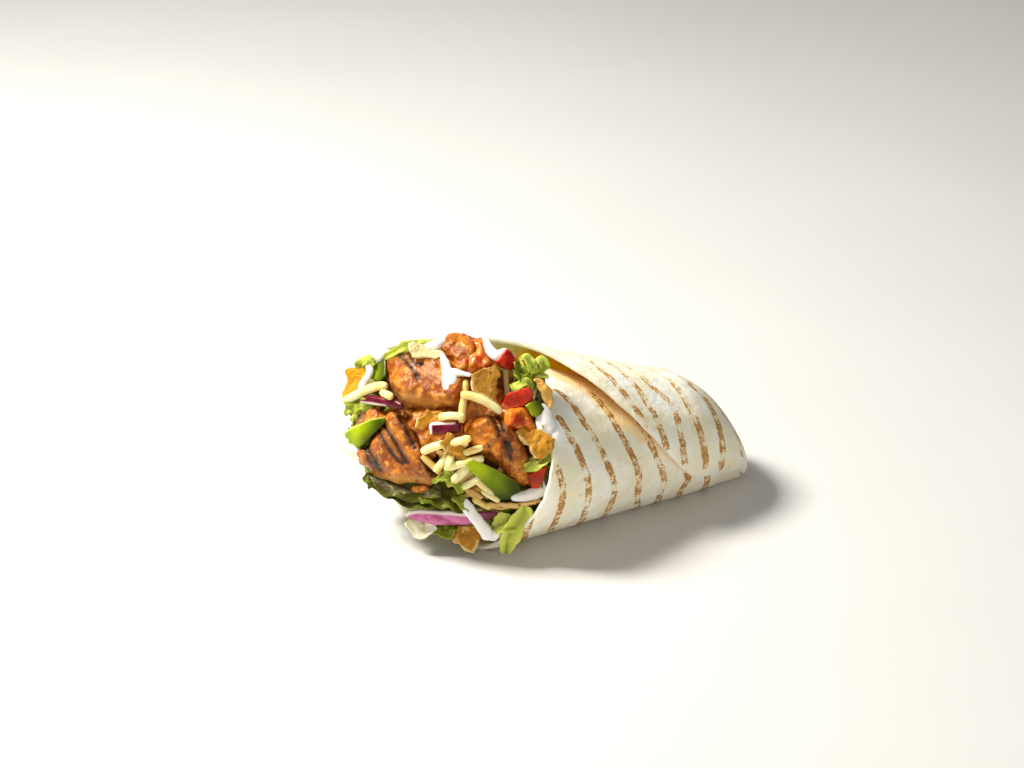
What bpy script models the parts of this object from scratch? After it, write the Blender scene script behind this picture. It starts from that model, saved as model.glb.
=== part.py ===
"""A rolled, grill-marked flour tortilla whose open mouth is heaped with grilled chicken and salad.

The roll lies on its side along X: the mouth is at -X, the folded tip at +X, and +Z is up. The origin
is on the flat strip that it rests on. Sizes in this file are in millimetres, and MM turns them into
Blender's metres. Pieces of the filling are placed on the heap: `right` and `up` are measured across the
mouth as it is served, from the side that the mouth opens to, and `sink` is how far a piece's middle
lies below the heap's surface.
"""

import math
import random

import bmesh
import bpy
from mathutils import Matrix, Vector, noise

MM = 0.001

# The tortilla: a thin sheet wound once and a third about a tapering roll.
SHEET_THICK = 2.0
LAYER_PITCH = 2.7
MOUTH_RADIUS = 32.3
TAPER = 0.195
TAPER_START = -22.0
TAPER_EASE = 15.0
FOLD_START = 47.0
FOLD_LENGTH = 23.5
FOLD_WIDENING = 1.18
FOLD_SLOT = 0.8
TIP_X = 70.5
TIP_LIFT = 0.8
FLAP_CORNER = 3.0
ROLL_FLATNESS = 1.05
REST_SAG = 0.9
FLAT_RISE = 1.3
WAIST = 0.7
WAIST_X = 24.0
START_ANGLE = 100.0
BOTTOM_TURN = 190.0
TUCK_DEPTH = 3.4
SHEET_WAVE = 0.7

# The sheet's front edge: turn about the roll from the hidden start, and where along X the edge is.
RIM = (
    (0, 4), (50, -5), (105, -13), (140, -20), (165, -27), (235, -46), (285, -53),
    (322, -47), (342, -38), (354, -9), (372, 4), (455, 36), (471, 43), (480, 51),
)

# The flat patch that the roll rests on: its three corners, how slightly it is hollow between them, and
# how far the rest of the underside stays clear.
SEAT = ((-18.0, -9.6), (57.0, 9.4), (-38.0, 9.0))
SEAT_HOLLOW = 0.02
SEAT_RISE = 0.4

# The heap in the mouth, a dome that faces the side it is served from.
SERVING_TURN = -26.0
SERVING_TILT = 30.6
HEAP_TOP = 46.0
HEAP_MIDDLE = (-15.0, 30.0)
HEAP_FALL = (0.0095, 0.0125)
CORE_DEPTH = 7.5
CORE_TIP_X = 65.0
CORE_MOUTH_X = -60.0

FIT_GAP = 0.3
FLOOR_GAP = 0.4

TORTILLA = ("tortilla", (0.86, 0.80, 0.64), 0.75)
CHICKEN = ("grilled_chicken", (0.62, 0.26, 0.07), 0.35)
SALSA = ("salsa", (0.60, 0.14, 0.03), 0.25)
TOMATO = ("tomato", (0.70, 0.06, 0.02), 0.25)
PEPPER = ("green_pepper", (0.30, 0.42, 0.03), 0.3)
ONION = ("red_onion", (0.48, 0.10, 0.24), 0.35)
CHIP = ("corn_chip", (0.66, 0.42, 0.09), 0.7)
CHEESE = ("cheese", (0.88, 0.70, 0.34), 0.5)
LETTUCE = ("lettuce", (0.38, 0.46, 0.09), 0.45)
CREAM = ("sour_cream", (0.92, 0.91, 0.86), 0.3)


def clear_scene():
    for obj in list(bpy.data.objects):
        bpy.data.objects.remove(obj)


def collection(name, hidden=False):
    made = bpy.data.collections.new(name)
    bpy.context.scene.collection.children.link(made)
    made.hide_render = hidden
    return made


def material(finish):
    name, colour, roughness = finish
    made = bpy.data.materials.get(name)
    if made is None:
        made = bpy.data.materials.new(name)
        made.use_nodes = True
        shader = made.node_tree.nodes["Principled BSDF"]
        shader.inputs["Base Color"].default_value = (*colour, 1.0)
        shader.inputs["Roughness"].default_value = roughness
    return made


def object_from(name, bm, finish, where):
    """A new object from a bmesh drawn in millimetres."""
    bmesh.ops.scale(bm, vec=(MM, MM, MM), verts=bm.verts)
    bmesh.ops.recalc_face_normals(bm, faces=bm.faces)
    mesh = bpy.data.meshes.new(name)
    bm.to_mesh(mesh)
    bm.free()
    mesh.materials.append(material(finish))
    obj = bpy.data.objects.new(name, mesh)
    where.objects.link(obj)
    return obj


def bake(obj):
    """Gives the object its evaluated mesh in world space, with its modifiers applied."""
    bpy.context.view_layer.update()
    graph = bpy.context.evaluated_depsgraph_get()
    mesh = bpy.data.meshes.new_from_object(obj.evaluated_get(graph), depsgraph=graph)
    mesh.transform(obj.matrix_world)
    obj.modifiers.clear()
    old = obj.data
    obj.data = mesh
    obj.matrix_world = Matrix.Identity(4)
    bpy.data.meshes.remove(old)
    mesh.name = obj.name


# ---------------------------------------------------------------- the roll


def through(points, at):
    """A smooth curve through (at, value) points, read at one place."""
    at = min(max(at, points[0][0]), points[-1][0])
    last = len(points) - 1
    i = next(k for k in range(last) if at <= points[k + 1][0])

    def slope(k):
        before, after = points[max(k - 1, 0)], points[min(k + 1, last)]
        return (after[1] - before[1]) / (after[0] - before[0])

    (x0, y0), (x1, y1) = points[i], points[i + 1]
    span = x1 - x0
    t = (at - x0) / span
    eased = t * t * (3 - 2 * t)
    rise = t * (1 - t) * span * (slope(i) * (1 - t) - slope(i + 1) * t)
    return y0 + (y1 - y0) * eased + rise


def smooth_step(low, high, value):
    t = min(max((value - low) / (high - low), 0.0), 1.0)
    return t * t * (3 - 2 * t)


def closing(x, length):
    """1 along the roll, falling as a quarter ellipse to the folded tip."""
    share = min(max(x - FOLD_START, 0.0) / length, 1.0)
    return math.sqrt(1 - share * share)


def roll_radius(x):
    along = x - TAPER_START
    waist = WAIST * math.exp(-(((x - WAIST_X) / 20.0) ** 2))
    return MOUTH_RADIUS - waist - TAPER * 0.5 * (along + math.hypot(along, TAPER_EASE))


def half_height(x):
    return max(roll_radius(x) * closing(x, FOLD_LENGTH), FOLD_SLOT)


def half_width(x):
    return roll_radius(x) * ROLL_FLATNESS * closing(x, FOLD_LENGTH * FOLD_WIDENING)


def roll_centre(x):
    """The height of the roll's middle, which lets the bottom of the sheet sag onto the table."""
    growth = LAYER_PITCH * BOTTOM_TURN / 360
    lift = TIP_LIFT * (1 - closing(x, FOLD_LENGTH))
    return half_height(x) + growth + SHEET_THICK / 2 - REST_SAG + lift


def section_point(x, angle, offset):
    """A point of the roll's section: angle 0 is the front, 90 the top, and offset is outwards.

    The offset follows the roll's slope, so that the layers stay parallel where the tip folds in.
    """
    turn = math.radians(angle)
    tall, wide = half_height(x), half_width(x)
    slope = (half_height(x - 0.4) - tall) / 0.4
    steep = math.hypot(1, slope)
    flat = (wide - tall) * math.tanh(3 * math.cos(turn)) / math.tanh(3)
    where = Vector((x / 22, math.cos(turn) * 1.6, math.sin(turn) * 1.6))
    wave = SHEET_WAVE * noise.noise(where) * closing(x, FOLD_LENGTH)
    reach = offset / steep + wave * smooth_step(-1.0, -0.6, math.sin(turn))
    y = -(flat + (tall + reach) * math.cos(turn))
    z = roll_centre(x) + (tall + reach) * math.sin(turn)
    return Vector((x + offset * slope / steep, y, z))


def flattened(height):
    """The bottom of the roll spreads under its own weight into a flat strip."""
    if height > 6.0:
        return height
    return max(height - FLAT_RISE, 0.0) * 6.0 / (6.0 - FLAT_RISE)


def seat(obj):
    """Rests the roll on the corners of one flat patch and lifts the rest of its underside just clear."""
    corners = [Vector(corner) for corner in SEAT]
    sides = list(zip(corners, corners[1:] + corners[:1]))
    for vert in obj.data.vertices:
        if vert.co.z < SEAT_RISE * MM:
            place = vert.co.xy / MM
            inside = min((b - a).normalized().cross(place - a) for a, b in sides)
            corner = min((place - c).length for c in corners)
            if corner < 0.8:
                vert.co.z = 0.0
            else:
                vert.co.z = (SEAT_HOLLOW if inside > 0.2 else SEAT_RISE) * MM


def tuck(x, turn):
    """How far the sheet's start dips in under the flap."""
    around = smooth_step(-50, 0, turn) * (1 - smooth_step(35, 110, turn))
    return TUCK_DEPTH * around * (1 - smooth_step(20, 46, x))


def sheet_point(x, turn):
    """The sheet's middle line, turn degrees round from its hidden start."""
    offset = LAYER_PITCH * turn / 360 - tuck(x, turn)
    point = section_point(x, START_ANGLE - turn, offset)
    point.z = SHEET_THICK / 2 + flattened(point.z - SHEET_THICK / 2)
    return point


def sheet_turns():
    """The turns of the sheet's columns, closer where its front edge runs along the roll."""
    turns = [320 * k / 22 for k in range(22)]
    turns += [320 + 52 * k / 7 for k in range(7)]
    turns += [372 + 108 * k / 8 for k in range(9)]
    return turns


def sheet_shares():
    """How far along the sheet each row lies, closer at the folded tip."""
    return [1 - (1 - k / 14) ** 1.65 for k in range(15)]


def make_tortilla():
    turns, shares = sheet_turns(), sheet_shares()
    bm = bmesh.new()
    bmesh.ops.create_grid(bm, x_segments=len(turns) - 1, y_segments=len(shares) - 1, size=1)
    for vert in bm.verts:
        column = round((vert.co.x + 1) / 2 * (len(turns) - 1))
        row = round((vert.co.y + 1) / 2 * (len(shares) - 1))
        edge = through(RIM, turns[column])
        end = TIP_X - FLAP_CORNER * smooth_step(400, 480, turns[column])
        x = edge + (end - edge) * shares[row]
        vert.co = sheet_point(x, turns[column])
    bmesh.ops.triangulate(bm, faces=bm.faces)
    obj = object_from("tortilla", bm, TORTILLA, PARTS)
    wall = obj.modifiers.new("thickness", "SOLIDIFY")
    wall.thickness = SHEET_THICK * MM
    wall.offset = 0
    wall.use_even_offset = True
    bake(obj)
    seat(obj)
    return obj


# ---------------------------------------------------------------- placing on the heap


def serving_axes():
    """Columns are right, up and out, as the mouth is served."""
    turn, tilt = math.radians(SERVING_TURN), math.radians(SERVING_TILT)
    out = Vector(
        (math.sin(turn) * math.cos(tilt), -math.cos(turn) * math.cos(tilt), math.sin(tilt))
    )
    right = Vector((math.cos(turn), math.sin(turn), 0))
    return Matrix((right, out.cross(right), out)).transposed()


def heap_height(right, up):
    across, above = right - HEAP_MIDDLE[0], up - HEAP_MIDDLE[1]
    return HEAP_TOP - HEAP_FALL[0] * across**2 - HEAP_FALL[1] * above**2


def heap_normal(right, up):
    across, above = right - HEAP_MIDDLE[0], up - HEAP_MIDDLE[1]
    return Vector((2 * HEAP_FALL[0] * across, 2 * HEAP_FALL[1] * above, 1)).normalized()


def lay(obj, right, up, sink=3.0, turn=0.0, pitch=0.0, roll=0.0):
    """Lays a piece on the heap: turned about the heap's normal, then pitched and rolled, in degrees."""
    normal = heap_normal(right, up)
    heading = Matrix.Rotation(math.radians(turn), 3, "Z") @ Vector((1, 0, 0))
    side = normal.cross(heading).normalized()
    facing = Matrix((side.cross(normal), side, normal)).transposed()
    facing = facing @ Matrix.Rotation(math.radians(-pitch), 3, "Y")
    facing = facing @ Matrix.Rotation(math.radians(roll), 3, "X")
    place = serving_axes() @ Vector((right, up, heap_height(right, up) - sink))
    obj.matrix_world = Matrix.Translation(place * MM) @ (serving_axes() @ facing).to_4x4()
    bake(obj)
    return obj


def fatter(obj, gap, wrapped=True):
    """A hidden copy grown by the gap, which cuts room for the piece out of its neighbours.

    Wrapped, the copy is the hull of the piece, so the room it cuts is a plain hollow.
    """
    bm = bmesh.new()
    if wrapped:
        for vert in obj.data.vertices:
            bm.verts.new(vert.co)
        hull = bmesh.ops.convex_hull(bm, input=bm.verts)
        inner = set(hull["geom_interior"]) | set(hull["geom_unused"])
        bmesh.ops.delete(bm, geom=list(inner), context="VERTS")
        bmesh.ops.dissolve_limit(bm, angle_limit=math.radians(4), verts=bm.verts, edges=bm.edges)
    else:
        bm.from_mesh(obj.data)
    bmesh.ops.triangulate(bm, faces=bm.faces)
    bm.normal_update()
    moves = [v.normal * gap * MM * min(v.calc_shell_factor(), 2.0) for v in bm.verts]
    for vert, move in zip(bm.verts, moves):
        vert.co += move
    mesh = bpy.data.meshes.new(obj.name + "_room")
    bm.to_mesh(mesh)
    bm.free()
    room = bpy.data.objects.new(obj.name + "_room", mesh)
    room.hide_render = True
    room.display_type = "WIRE"
    ROOM.objects.link(room)
    return room


def plain_faces(mesh):
    """The mesh in triangles, with the splinters of its flat parts dissolved where it stays closed."""
    for limit in (5, 2, 0):
        bm = bmesh.new()
        bm.from_mesh(mesh)
        if limit:
            bmesh.ops.dissolve_limit(
                bm, angle_limit=math.radians(limit), verts=bm.verts, edges=bm.edges
            )
        bmesh.ops.triangulate(bm, faces=bm.faces)
        if all(edge.is_manifold for edge in bm.edges):
            break
    return bm


def keep_largest(obj):
    """Drops the loose scraps that a cut leaves."""
    bm = plain_faces(obj.data)
    left, islands = set(bm.faces), []
    while left:
        island, edge = set(), [left.pop()]
        while edge:
            face = edge.pop()
            island.add(face)
            for line in face.edges:
                for other in line.link_faces:
                    if other in left:
                        left.discard(other)
                        edge.append(other)
        islands.append(island)
    largest = max(islands, key=lambda faces: abs(volume_of(faces)))
    scraps = [f for f in bm.faces if f not in largest]
    bmesh.ops.delete(bm, geom=scraps, context="FACES")
    bm.to_mesh(obj.data)
    bm.free()


def volume_of(faces):
    total = 0.0
    for face in faces:
        a, b, c = (v.co for v in face.verts)
        total += a.dot(b.cross(c)) / 6
    return total


def box_of(obj):
    points = [v.co for v in obj.data.vertices]
    low = Vector(min(p[k] for p in points) for k in range(3))
    high = Vector(max(p[k] for p in points) for k in range(3))
    return low, high


def boxes_meet(first, second):
    (low_a, high_a), (low_b, high_b) = box_of(first), box_of(second)
    return all(low_a[k] < high_b[k] and low_b[k] < high_a[k] for k in range(3))


def settle(obj, wrapped=True):
    """Cuts the piece where it meets those already in place, and then makes room for it in turn."""
    for room in ROOM.objects:
        if boxes_meet(obj, room):
            cut = obj.modifiers.new(room.name, "BOOLEAN")
            cut.operation = "DIFFERENCE"
            cut.solver = "MANIFOLD"
            cut.object = room
    if obj.modifiers:
        bake(obj)
        keep_largest(obj)
    fatter(obj, FIT_GAP, wrapped)
    return obj


# ---------------------------------------------------------------- pieces of the filling


def chunk(name, finish, size, seed, blocky=0.75, rough=0.10, taper=0.0, bend=0.0, fineness=3):
    """A lump with a rough skin: size is length, width and thickness, and taper narrows its far end."""
    bm = bmesh.new()
    bmesh.ops.create_icosphere(bm, subdivisions=fineness, radius=1)
    for vert in bm.verts:
        ball = vert.co.normalized()
        lumps = noise.noise(ball * 1.3 + Vector((seed * 7.3, 0, 0)))
        crags = noise.noise(ball * 3.4 + Vector((0, seed * 3.1, 0)))
        swell = 1 + rough * (1.6 * lumps + 0.8 * crags)
        block = [math.copysign(abs(c) ** blocky, c) * swell for c in ball]
        narrow = 1 - taper * block[0]
        x = block[0] * size[0] / 2
        y = block[1] * size[1] / 2 * narrow + bend * block[0] ** 2
        z = block[2] * size[2] / 2 * (0.5 + 0.5 * narrow)
        vert.co = (x, y, z)
    return object_from(name, bm, finish, PARTS)


def chip(name, size, seed, curl=1.2, thick=1.7):
    """A shard of corn chip: a jagged four-sided plate with a slight curl."""
    columns, rows = 4, 3
    dice = random.Random(seed)
    skew = [dice.uniform(-0.22, 0.22) for _ in range(4)]
    bm = bmesh.new()
    bmesh.ops.create_grid(bm, x_segments=columns, y_segments=rows, size=1)
    for vert in bm.verts:
        x, y = vert.co.x, vert.co.y
        edge = max(abs(x), abs(y)) > 0.95
        jag = dice.uniform(0.80, 1.06) if edge else dice.uniform(0.96, 1.04)
        lean_x = x * (1 + skew[0] * y) + skew[1] * y
        lean_y = y * (1 + skew[2] * x) + skew[3] * x
        rise = curl * (x * x - 0.6 * y * y) + dice.uniform(-0.18, 0.18)
        vert.co = (lean_x * jag * size[0] / 2, lean_y * jag * size[1] / 2, rise)
    bmesh.ops.triangulate(bm, faces=bm.faces)
    obj = object_from(name, bm, CHIP, PARTS)
    return thicken(obj, thick)


def leaf(name, size, seed, ruffle=2.0, waves=1.5, thick=0.9, columns=6, rows=3, curl=0.0):
    """A torn piece of lettuce: a thin sheet whose long edges ruffle and whose ends curl."""
    dice = random.Random(seed)
    phase = dice.uniform(0, 6.28)
    bm = bmesh.new()
    bmesh.ops.create_grid(bm, x_segments=columns, y_segments=rows, size=1)
    for vert in bm.verts:
        x, y = vert.co.x, vert.co.y
        border = max(abs(x), abs(y)) > 0.95
        torn = dice.uniform(0.84, 1.08) if border else 1.0
        tip = 1 - 0.35 * abs(x) ** 3
        frill = 0.35 + 0.65 * abs(y)
        rise = ruffle * frill * math.sin(waves * math.pi * x + phase + 1.3 * y)
        rise += curl * x * x + 0.25 * ruffle * math.cos(2.1 * waves * math.pi * x)
        vert.co = (x * torn * size[0] / 2, y * torn * tip * size[1] / 2, rise)
    bmesh.ops.triangulate(bm, faces=bm.faces)
    obj = object_from(name, bm, LETTUCE, PARTS)
    return thicken(obj, thick)


def thicken(obj, thick):
    wall = obj.modifiers.new("thickness", "SOLIDIFY")
    wall.thickness = thick * MM
    wall.offset = 0
    wall.use_even_offset = True
    wall.thickness_clamp = 1.0
    bake(obj)
    return obj


def strip(name, finish, size, arc=0.0, lean=0.0, sides=8, cuts=5, square=0.45, where=None):
    """A cut strip: size is length, width and thickness, arc bends it in its face and lean off its face."""
    bm = bmesh.new()
    bmesh.ops.create_cone(
        bm, cap_ends=True, segments=sides, radius1=1, radius2=1, depth=2,
        matrix=Matrix.Rotation(math.pi / sides, 4, "Z"),
    )
    long_edges = [e for e in bm.edges if abs(e.verts[0].co.z - e.verts[1].co.z) > 1]
    bmesh.ops.subdivide_edges(bm, edges=long_edges, cuts=cuts, use_grid_fill=True)
    for vert in bm.verts:
        along = vert.co.z
        blunt = 1 - 0.12 * abs(along) ** 6
        across = math.copysign(abs(vert.co.x) ** square, vert.co.x) * blunt
        deep = math.copysign(abs(vert.co.y) ** square, vert.co.y) * blunt
        bow, tilt = arc * (1 - along**2), lean * (1 - along**2)
        vert.co = (along * size[0] / 2, across * size[1] / 2 + bow, deep * size[2] / 2 + tilt)
    return object_from(name, bm, finish, where or PARTS)


def strand(name, length, bow=0.0, thick=2.8, where=None):
    """A grated strand of cheese, a blunt little rod."""
    return strip(
        name, CHEESE, (length, thick, thick * 0.9), arc=bow, sides=6, cuts=3, square=0.8, where=where
    )


def drizzle(name, route, flatness=0.62):
    """A run of sour cream: route holds right, up, radius and sink of each point along it."""
    curve = bpy.data.curves.new(name, "CURVE")
    curve.dimensions = "3D"
    curve.bevel_depth = MM
    curve.bevel_resolution = 1
    curve.resolution_u = 3
    curve.use_fill_caps = True
    line = curve.splines.new("NURBS")
    line.points.add(len(route) - 1)
    line.use_endpoint_u = True
    line.order_u = 3
    for point, (right, up, radius, sink) in zip(line.points, route):
        depth = (heap_height(right, up) - sink) / flatness
        point.co = (right * MM, up * MM, depth * MM, 1)
        point.radius = radius
    guide = bpy.data.objects.new(name + "_line", curve)
    PARTS.objects.link(guide)
    bpy.context.view_layer.update()
    graph = bpy.context.evaluated_depsgraph_get()
    mesh = bpy.data.meshes.new_from_object(guide.evaluated_get(graph), depsgraph=graph)
    bpy.data.objects.remove(guide)
    bm = bmesh.new()
    bm.from_mesh(mesh)
    bmesh.ops.remove_doubles(bm, verts=bm.verts, dist=0.01 * MM)
    bmesh.ops.scale(bm, vec=(1, 1, flatness), verts=bm.verts)
    bmesh.ops.transform(bm, matrix=serving_axes().to_4x4(), verts=bm.verts)
    bmesh.ops.scale(bm, vec=(1 / MM, 1 / MM, 1 / MM), verts=bm.verts)
    bpy.data.meshes.remove(mesh)
    return object_from(name, bm, CREAM, PARTS)


# ---------------------------------------------------------------- the core of the filling


def heap_block(name, depth, roughness, cells=16):
    """Everything behind the heap's surface, which cuts the core's mouth end to shape."""
    middle, reach, back = Vector((-22.0, 20.0)), 62.0, -150.0
    bm = bmesh.new()
    bmesh.ops.create_grid(bm, x_segments=cells, y_segments=cells, size=reach)
    front = list(bm.verts)
    for vert in front:
        right, up = vert.co.x + middle.x, vert.co.y + middle.y
        inside = 9.0 * max(right - 1.0, 0.0)
        bump = roughness * noise.noise(Vector((right, up, 0)) / 5.0)
        corner = 3.0 * max(-0.5 * (right + 30) - 0.86 * (up - 10) - 6.5, 0.0)
        height = min(heap_height(right, up) - depth + bump + inside, 90.0) - corner
        vert.co = (right, up, max(height, back + 20))
    grown = bmesh.ops.extrude_face_region(bm, geom=list(bm.faces))
    for item in grown["geom"]:
        if isinstance(item, bmesh.types.BMVert):
            item.co.z = back
    bmesh.ops.transform(bm, matrix=serving_axes().to_4x4(), verts=bm.verts)
    obj = object_from(name, bm, LETTUCE, TOOLS)
    obj.hide_render = True
    obj.display_type = "WIRE"
    return obj


def core_point(share, angle):
    """The core fills the roll up to the sheet's inner face, and rounds off beyond the mouth."""
    x = CORE_MOUTH_X + (CORE_TIP_X - CORE_MOUTH_X) * share
    beyond = min(max(-42.0 - x, 0.0) / 19.0, 0.99)
    before = min(max(x - 54.0, 0.0) / 11.5, 0.99)
    full = math.sqrt(1 - beyond**2) * math.sqrt(1 - before**2)
    skin = section_point(x, angle, -(SHEET_THICK / 2 + 1.0) - tuck(x, START_ANGLE - angle))
    middle = Vector((x, 0, roll_centre(x)))
    point = middle + (skin - middle) * full
    point.z = max(point.z, SHEET_THICK + 0.8)
    return point


def make_core():
    bm = bmesh.new()
    bmesh.ops.create_cone(bm, cap_ends=True, segments=24, radius1=1, radius2=1, depth=2)
    long_edges = [e for e in bm.edges if abs(e.verts[0].co.z - e.verts[1].co.z) > 1]
    bmesh.ops.subdivide_edges(bm, edges=long_edges, cuts=12, use_grid_fill=True)
    for vert in bm.verts:
        angle = math.degrees(math.atan2(vert.co.y, vert.co.x))
        vert.co = core_point((vert.co.z + 1) / 2, angle)
    core = object_from("filling", bm, LETTUCE, PARTS)
    block = heap_block("heap_block", CORE_DEPTH, 3.0)
    trim = core.modifiers.new("heap", "BOOLEAN")
    trim.operation = "INTERSECT"
    trim.object = block
    bake(core)
    return core


def fuse(core, pieces):
    """Joins the small strands that show to the core."""
    join = core.modifiers.new("fused", "BOOLEAN")
    join.operation = "UNION"
    join.operand_type = "COLLECTION"
    join.collection = pieces
    bake(core)
    for obj in list(pieces.objects):
        bpy.data.objects.remove(obj)


def floor_room():
    """A slab below the table top, which trims what would hang through it."""
    bm = bmesh.new()
    bmesh.ops.create_cube(bm, size=1)
    bmesh.ops.scale(bm, vec=(220, 160, 20), verts=bm.verts)
    bmesh.ops.translate(bm, vec=(0, 0, FLOOR_GAP - 10), verts=bm.verts)
    slab = object_from("floor_room", bm, TORTILLA, ROOM)
    slab.hide_render = True
    slab.display_type = "WIRE"


# ---------------------------------------------------------------- the whole wrap


def add_cream():
    def run(name, *route):
        settle(drizzle(name, route), wrapped=False)

    run("cream_back", (-30.4, 48.6, 0.5, -1), (-29.8, 46.4, 1.6, -1.5), (-29.0, 44, 1.8, -2),
        (-28.4, 41.6, 2.2, -2.3), (-28.2, 39.4, 2.0, -2), (-28.4, 37.6, 0.5, -1.5))
    run("cream_peak", (-17.4, 55.0, 0.5, 0), (-16.0, 53, 1.9, -1), (-14.0, 49.8, 2.2, -2),
        (-12.0, 50.0, 1.6, -2), (-10.8, 51.0, 0.5, -1))
    run("cream_right", (-1.0, 34, 0.5, 0), (0.4, 31.5, 3.0, -0.5), (0.6, 27.5, 3.7, -0.5),
        (0.9, 24, 2.4, -0.5), (0.9, 22.2, 0.5, 0))
    run("cream_low", (3.4, 12.5, 0.5, 1.5), (2.4, 9, 2.0, 1.5), (-1.5, 5.4, 2.2, 1.5),
        (-6.0, 3.4, 1.6, 1.5), (-9.5, 2.0, 0.5, 1.5))
    run("cream_front", (-23.5, 4.2, 0.5, -1), (-21.6, 1.4, 1.7, -2), (-18.6, -2.6, 2.1, -2),
        (-15.8, -6.8, 2.6, -1), (-12.6, -6.2, 1.8, 0), (-10.4, -4.6, 0.5, 0))
    run("cream_left", (-48.5, 52.2, 0.5, 1), (-51.5, 50.6, 1.6, 0.5), (-54.6, 48, 1.7, 0),
        (-56.2, 44.4, 1.4, -0.5), (-57.0, 40.8, 1.2, -1), (-57.4, 39.6, 0.4, -1))
    run("cream_top", (-36.4, 53.0, 0.5, 0), (-34.4, 52.8, 1.7, -1), (-31.8, 53.4, 1.6, -1),
        (-30.2, 53.4, 0.5, 0))


def add_cheese():
    def put(name, length, right, up, sink, turn, **form):
        settle(lay(strand(name, length, **form), right, up, sink, turn))

    put("cheese_left", 16.5, -56.8, 37.6, -0.4, 8, bow=0.5)
    put("cheese_bent", 13, -19.4, 34.6, -0.8, -18, bow=1.6)
    put("cheese_upright", 9.5, -23.6, 31.4, -2.6, -84, thick=2.6)
    put("cheese_short", 9.5, -27.2, 28.8, -0.6, 0)
    put("cheese_tilted", 10, -33.4, 19.6, 0.2, 17)
    put("cheese_lower", 12, -23.6, 15.6, 0.6, 14)


def add_chips():
    def put(name, size, seed, right, up, sink, turn, pitch=0, roll=0, **form):
        settle(lay(chip(name, size, seed, **form), right, up, sink, turn, pitch, roll))

    put("chip_left", (8.5, 12.5), 31, -58.2, 41.2, 0.5, 0, pitch=-10, roll=14)
    put("chip_top", (13.5, 6.5), 32, -36.6, 51.0, -0.6, -4, roll=-18)
    put("chip_inner", (9.5, 11), 33, -16.2, 39.8, -1.6, -28, pitch=16)
    put("chip_small", (10, 6.5), 34, -34.4, 27.4, -0.6, 14, roll=10)
    put("chip_middle", (9.5, 7.5), 35, -27.0, 20.6, -1.6, -52, roll=10)
    put("chip_right", (13.5, 10), 36, 0.2, 22.4, -0.8, -30, curl=1.8)
    put("chip_upper", (6.5, 10.5), 37, 0.6, 37.0, 0.4, 12, pitch=-20)
    put("chip_front", (12, 9.5), 38, -22.2, -8.0, 0.6, -12, roll=6)
    put("chip_edge", (19.5, 6), 39, -7.4, 3.6, 1.2, 4, roll=76, curl=0.8)
    put("chip_splinter", (8, 4), 40, -21.0, 6.0, 1.0, -30, roll=60, curl=0.4)


def add_vegetables():
    def cut(name, finish, size, right, up, sink, turn, roll=0, **form):
        settle(lay(strip(name, finish, size, **form), right, up, sink, turn, roll=roll))

    cut("onion_front", ONION, (30, 4.2, 3.0), -29.2, -0.6, 0.5, 7, roll=68, arc=0.6, lean=0.8)
    cut("onion_middle", ONION, (11.5, 4.6, 2.6), -29.2, 26.0, -0.6, 8, roll=55, arc=0.5)
    cut("onion_left", ONION, (17, 4.6, 2.6), -49.6, 35.0, 0.2, 2, roll=50, arc=1.2)
    cut("pepper_middle", PEPPER, (21, 8.5, 3.4), -14.0, 11.0, 1.6, -36, roll=-12, arc=1.0, lean=1.0)
    cut("pepper_left", PEPPER, (15, 8.0, 3.2), -55.8, 25.2, 1.0, 12, roll=10, arc=0.8, lean=1.0)
    cut("pepper_right", PEPPER, (8, 6.5, 3.2), -1.9, 33.6, 0.6, 20, lean=0.8, cuts=3)
    cut("pepper_back", PEPPER, (10, 8.5, 3.0), -52.0, 45.2, 1.8, 60, lean=0.8, cuts=3)

    def dice(name, finish, size, seed, right, up, sink, turn, blocky, rough, fineness):
        settle(lay(chunk(name, finish, size, seed, blocky, rough, fineness=fineness), right, up, sink, turn))

    dice("tomato_top", TOMATO, (8, 7.5, 7), 3, -9.4, 47.6, 1.0, 40, 0.5, 0.05, 2)
    dice("tomato_middle", TOMATO, (11, 7.5, 7), 4, -6.6, 36.2, 1.2, 10, 0.5, 0.05, 2)
    dice("tomato_low", TOMATO, (10, 9, 6), 6, 1.8, 11.4, 3.6, -20, 0.5, 0.05, 2)
    dice("salsa_middle", SALSA, (13, 9.5, 8), 7, -6.6, 29.2, 2.6, -10, 0.85, 0.16, 2)
    dice("salsa_top", SALSA, (13, 12, 8), 9, -17.4, 49.4, 2.6, 20, 0.85, 0.16, 2)


def add_chicken_on_top():
    def put(name, size, seed, right, up, sink, turn, blocky=0.75, rough=0.10, **form):
        settle(lay(chunk(name, CHICKEN, size, seed, blocky, rough, **form), right, up, sink, turn))

    put("chicken_left", (29, 23, 13), 2, -44.6, 19.0, 5.0, -42, 0.62, taper=-0.12)
    put("chicken_middle", (29, 13, 12), 5, -12.2, 20.2, 4.0, -50, 0.75, 0.09, taper=0.30)
    put("chicken_sauced", (16, 15, 10), 11, -25.0, 47.6, 3.2, 30, 0.8, 0.14, fineness=2)
    put("chicken_back", (36, 19, 15), 8, -33.4, 40.4, 6.5, -10, 0.68)
    put("chicken_scrap", (9, 5, 4.5), 23, -39.0, 7.2, 1.5, 8, 0.8, fineness=2)


def add_chicken_below():
    def put(name, size, seed, right, up, sink, turn):
        settle(lay(chunk(name, CHICKEN, size, seed, 0.8, 0.10, fineness=2), right, up, sink, turn))

    put("chicken_edge", (17, 9, 9), 13, -55.2, 29.6, 4.5, 28)
    put("chicken_inner", (20, 13, 10), 17, -17.5, 35.0, 7.5, -30)
    put("chicken_deep", (22, 15, 10), 19, -35.5, 27.5, 7.0, 15)


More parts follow.
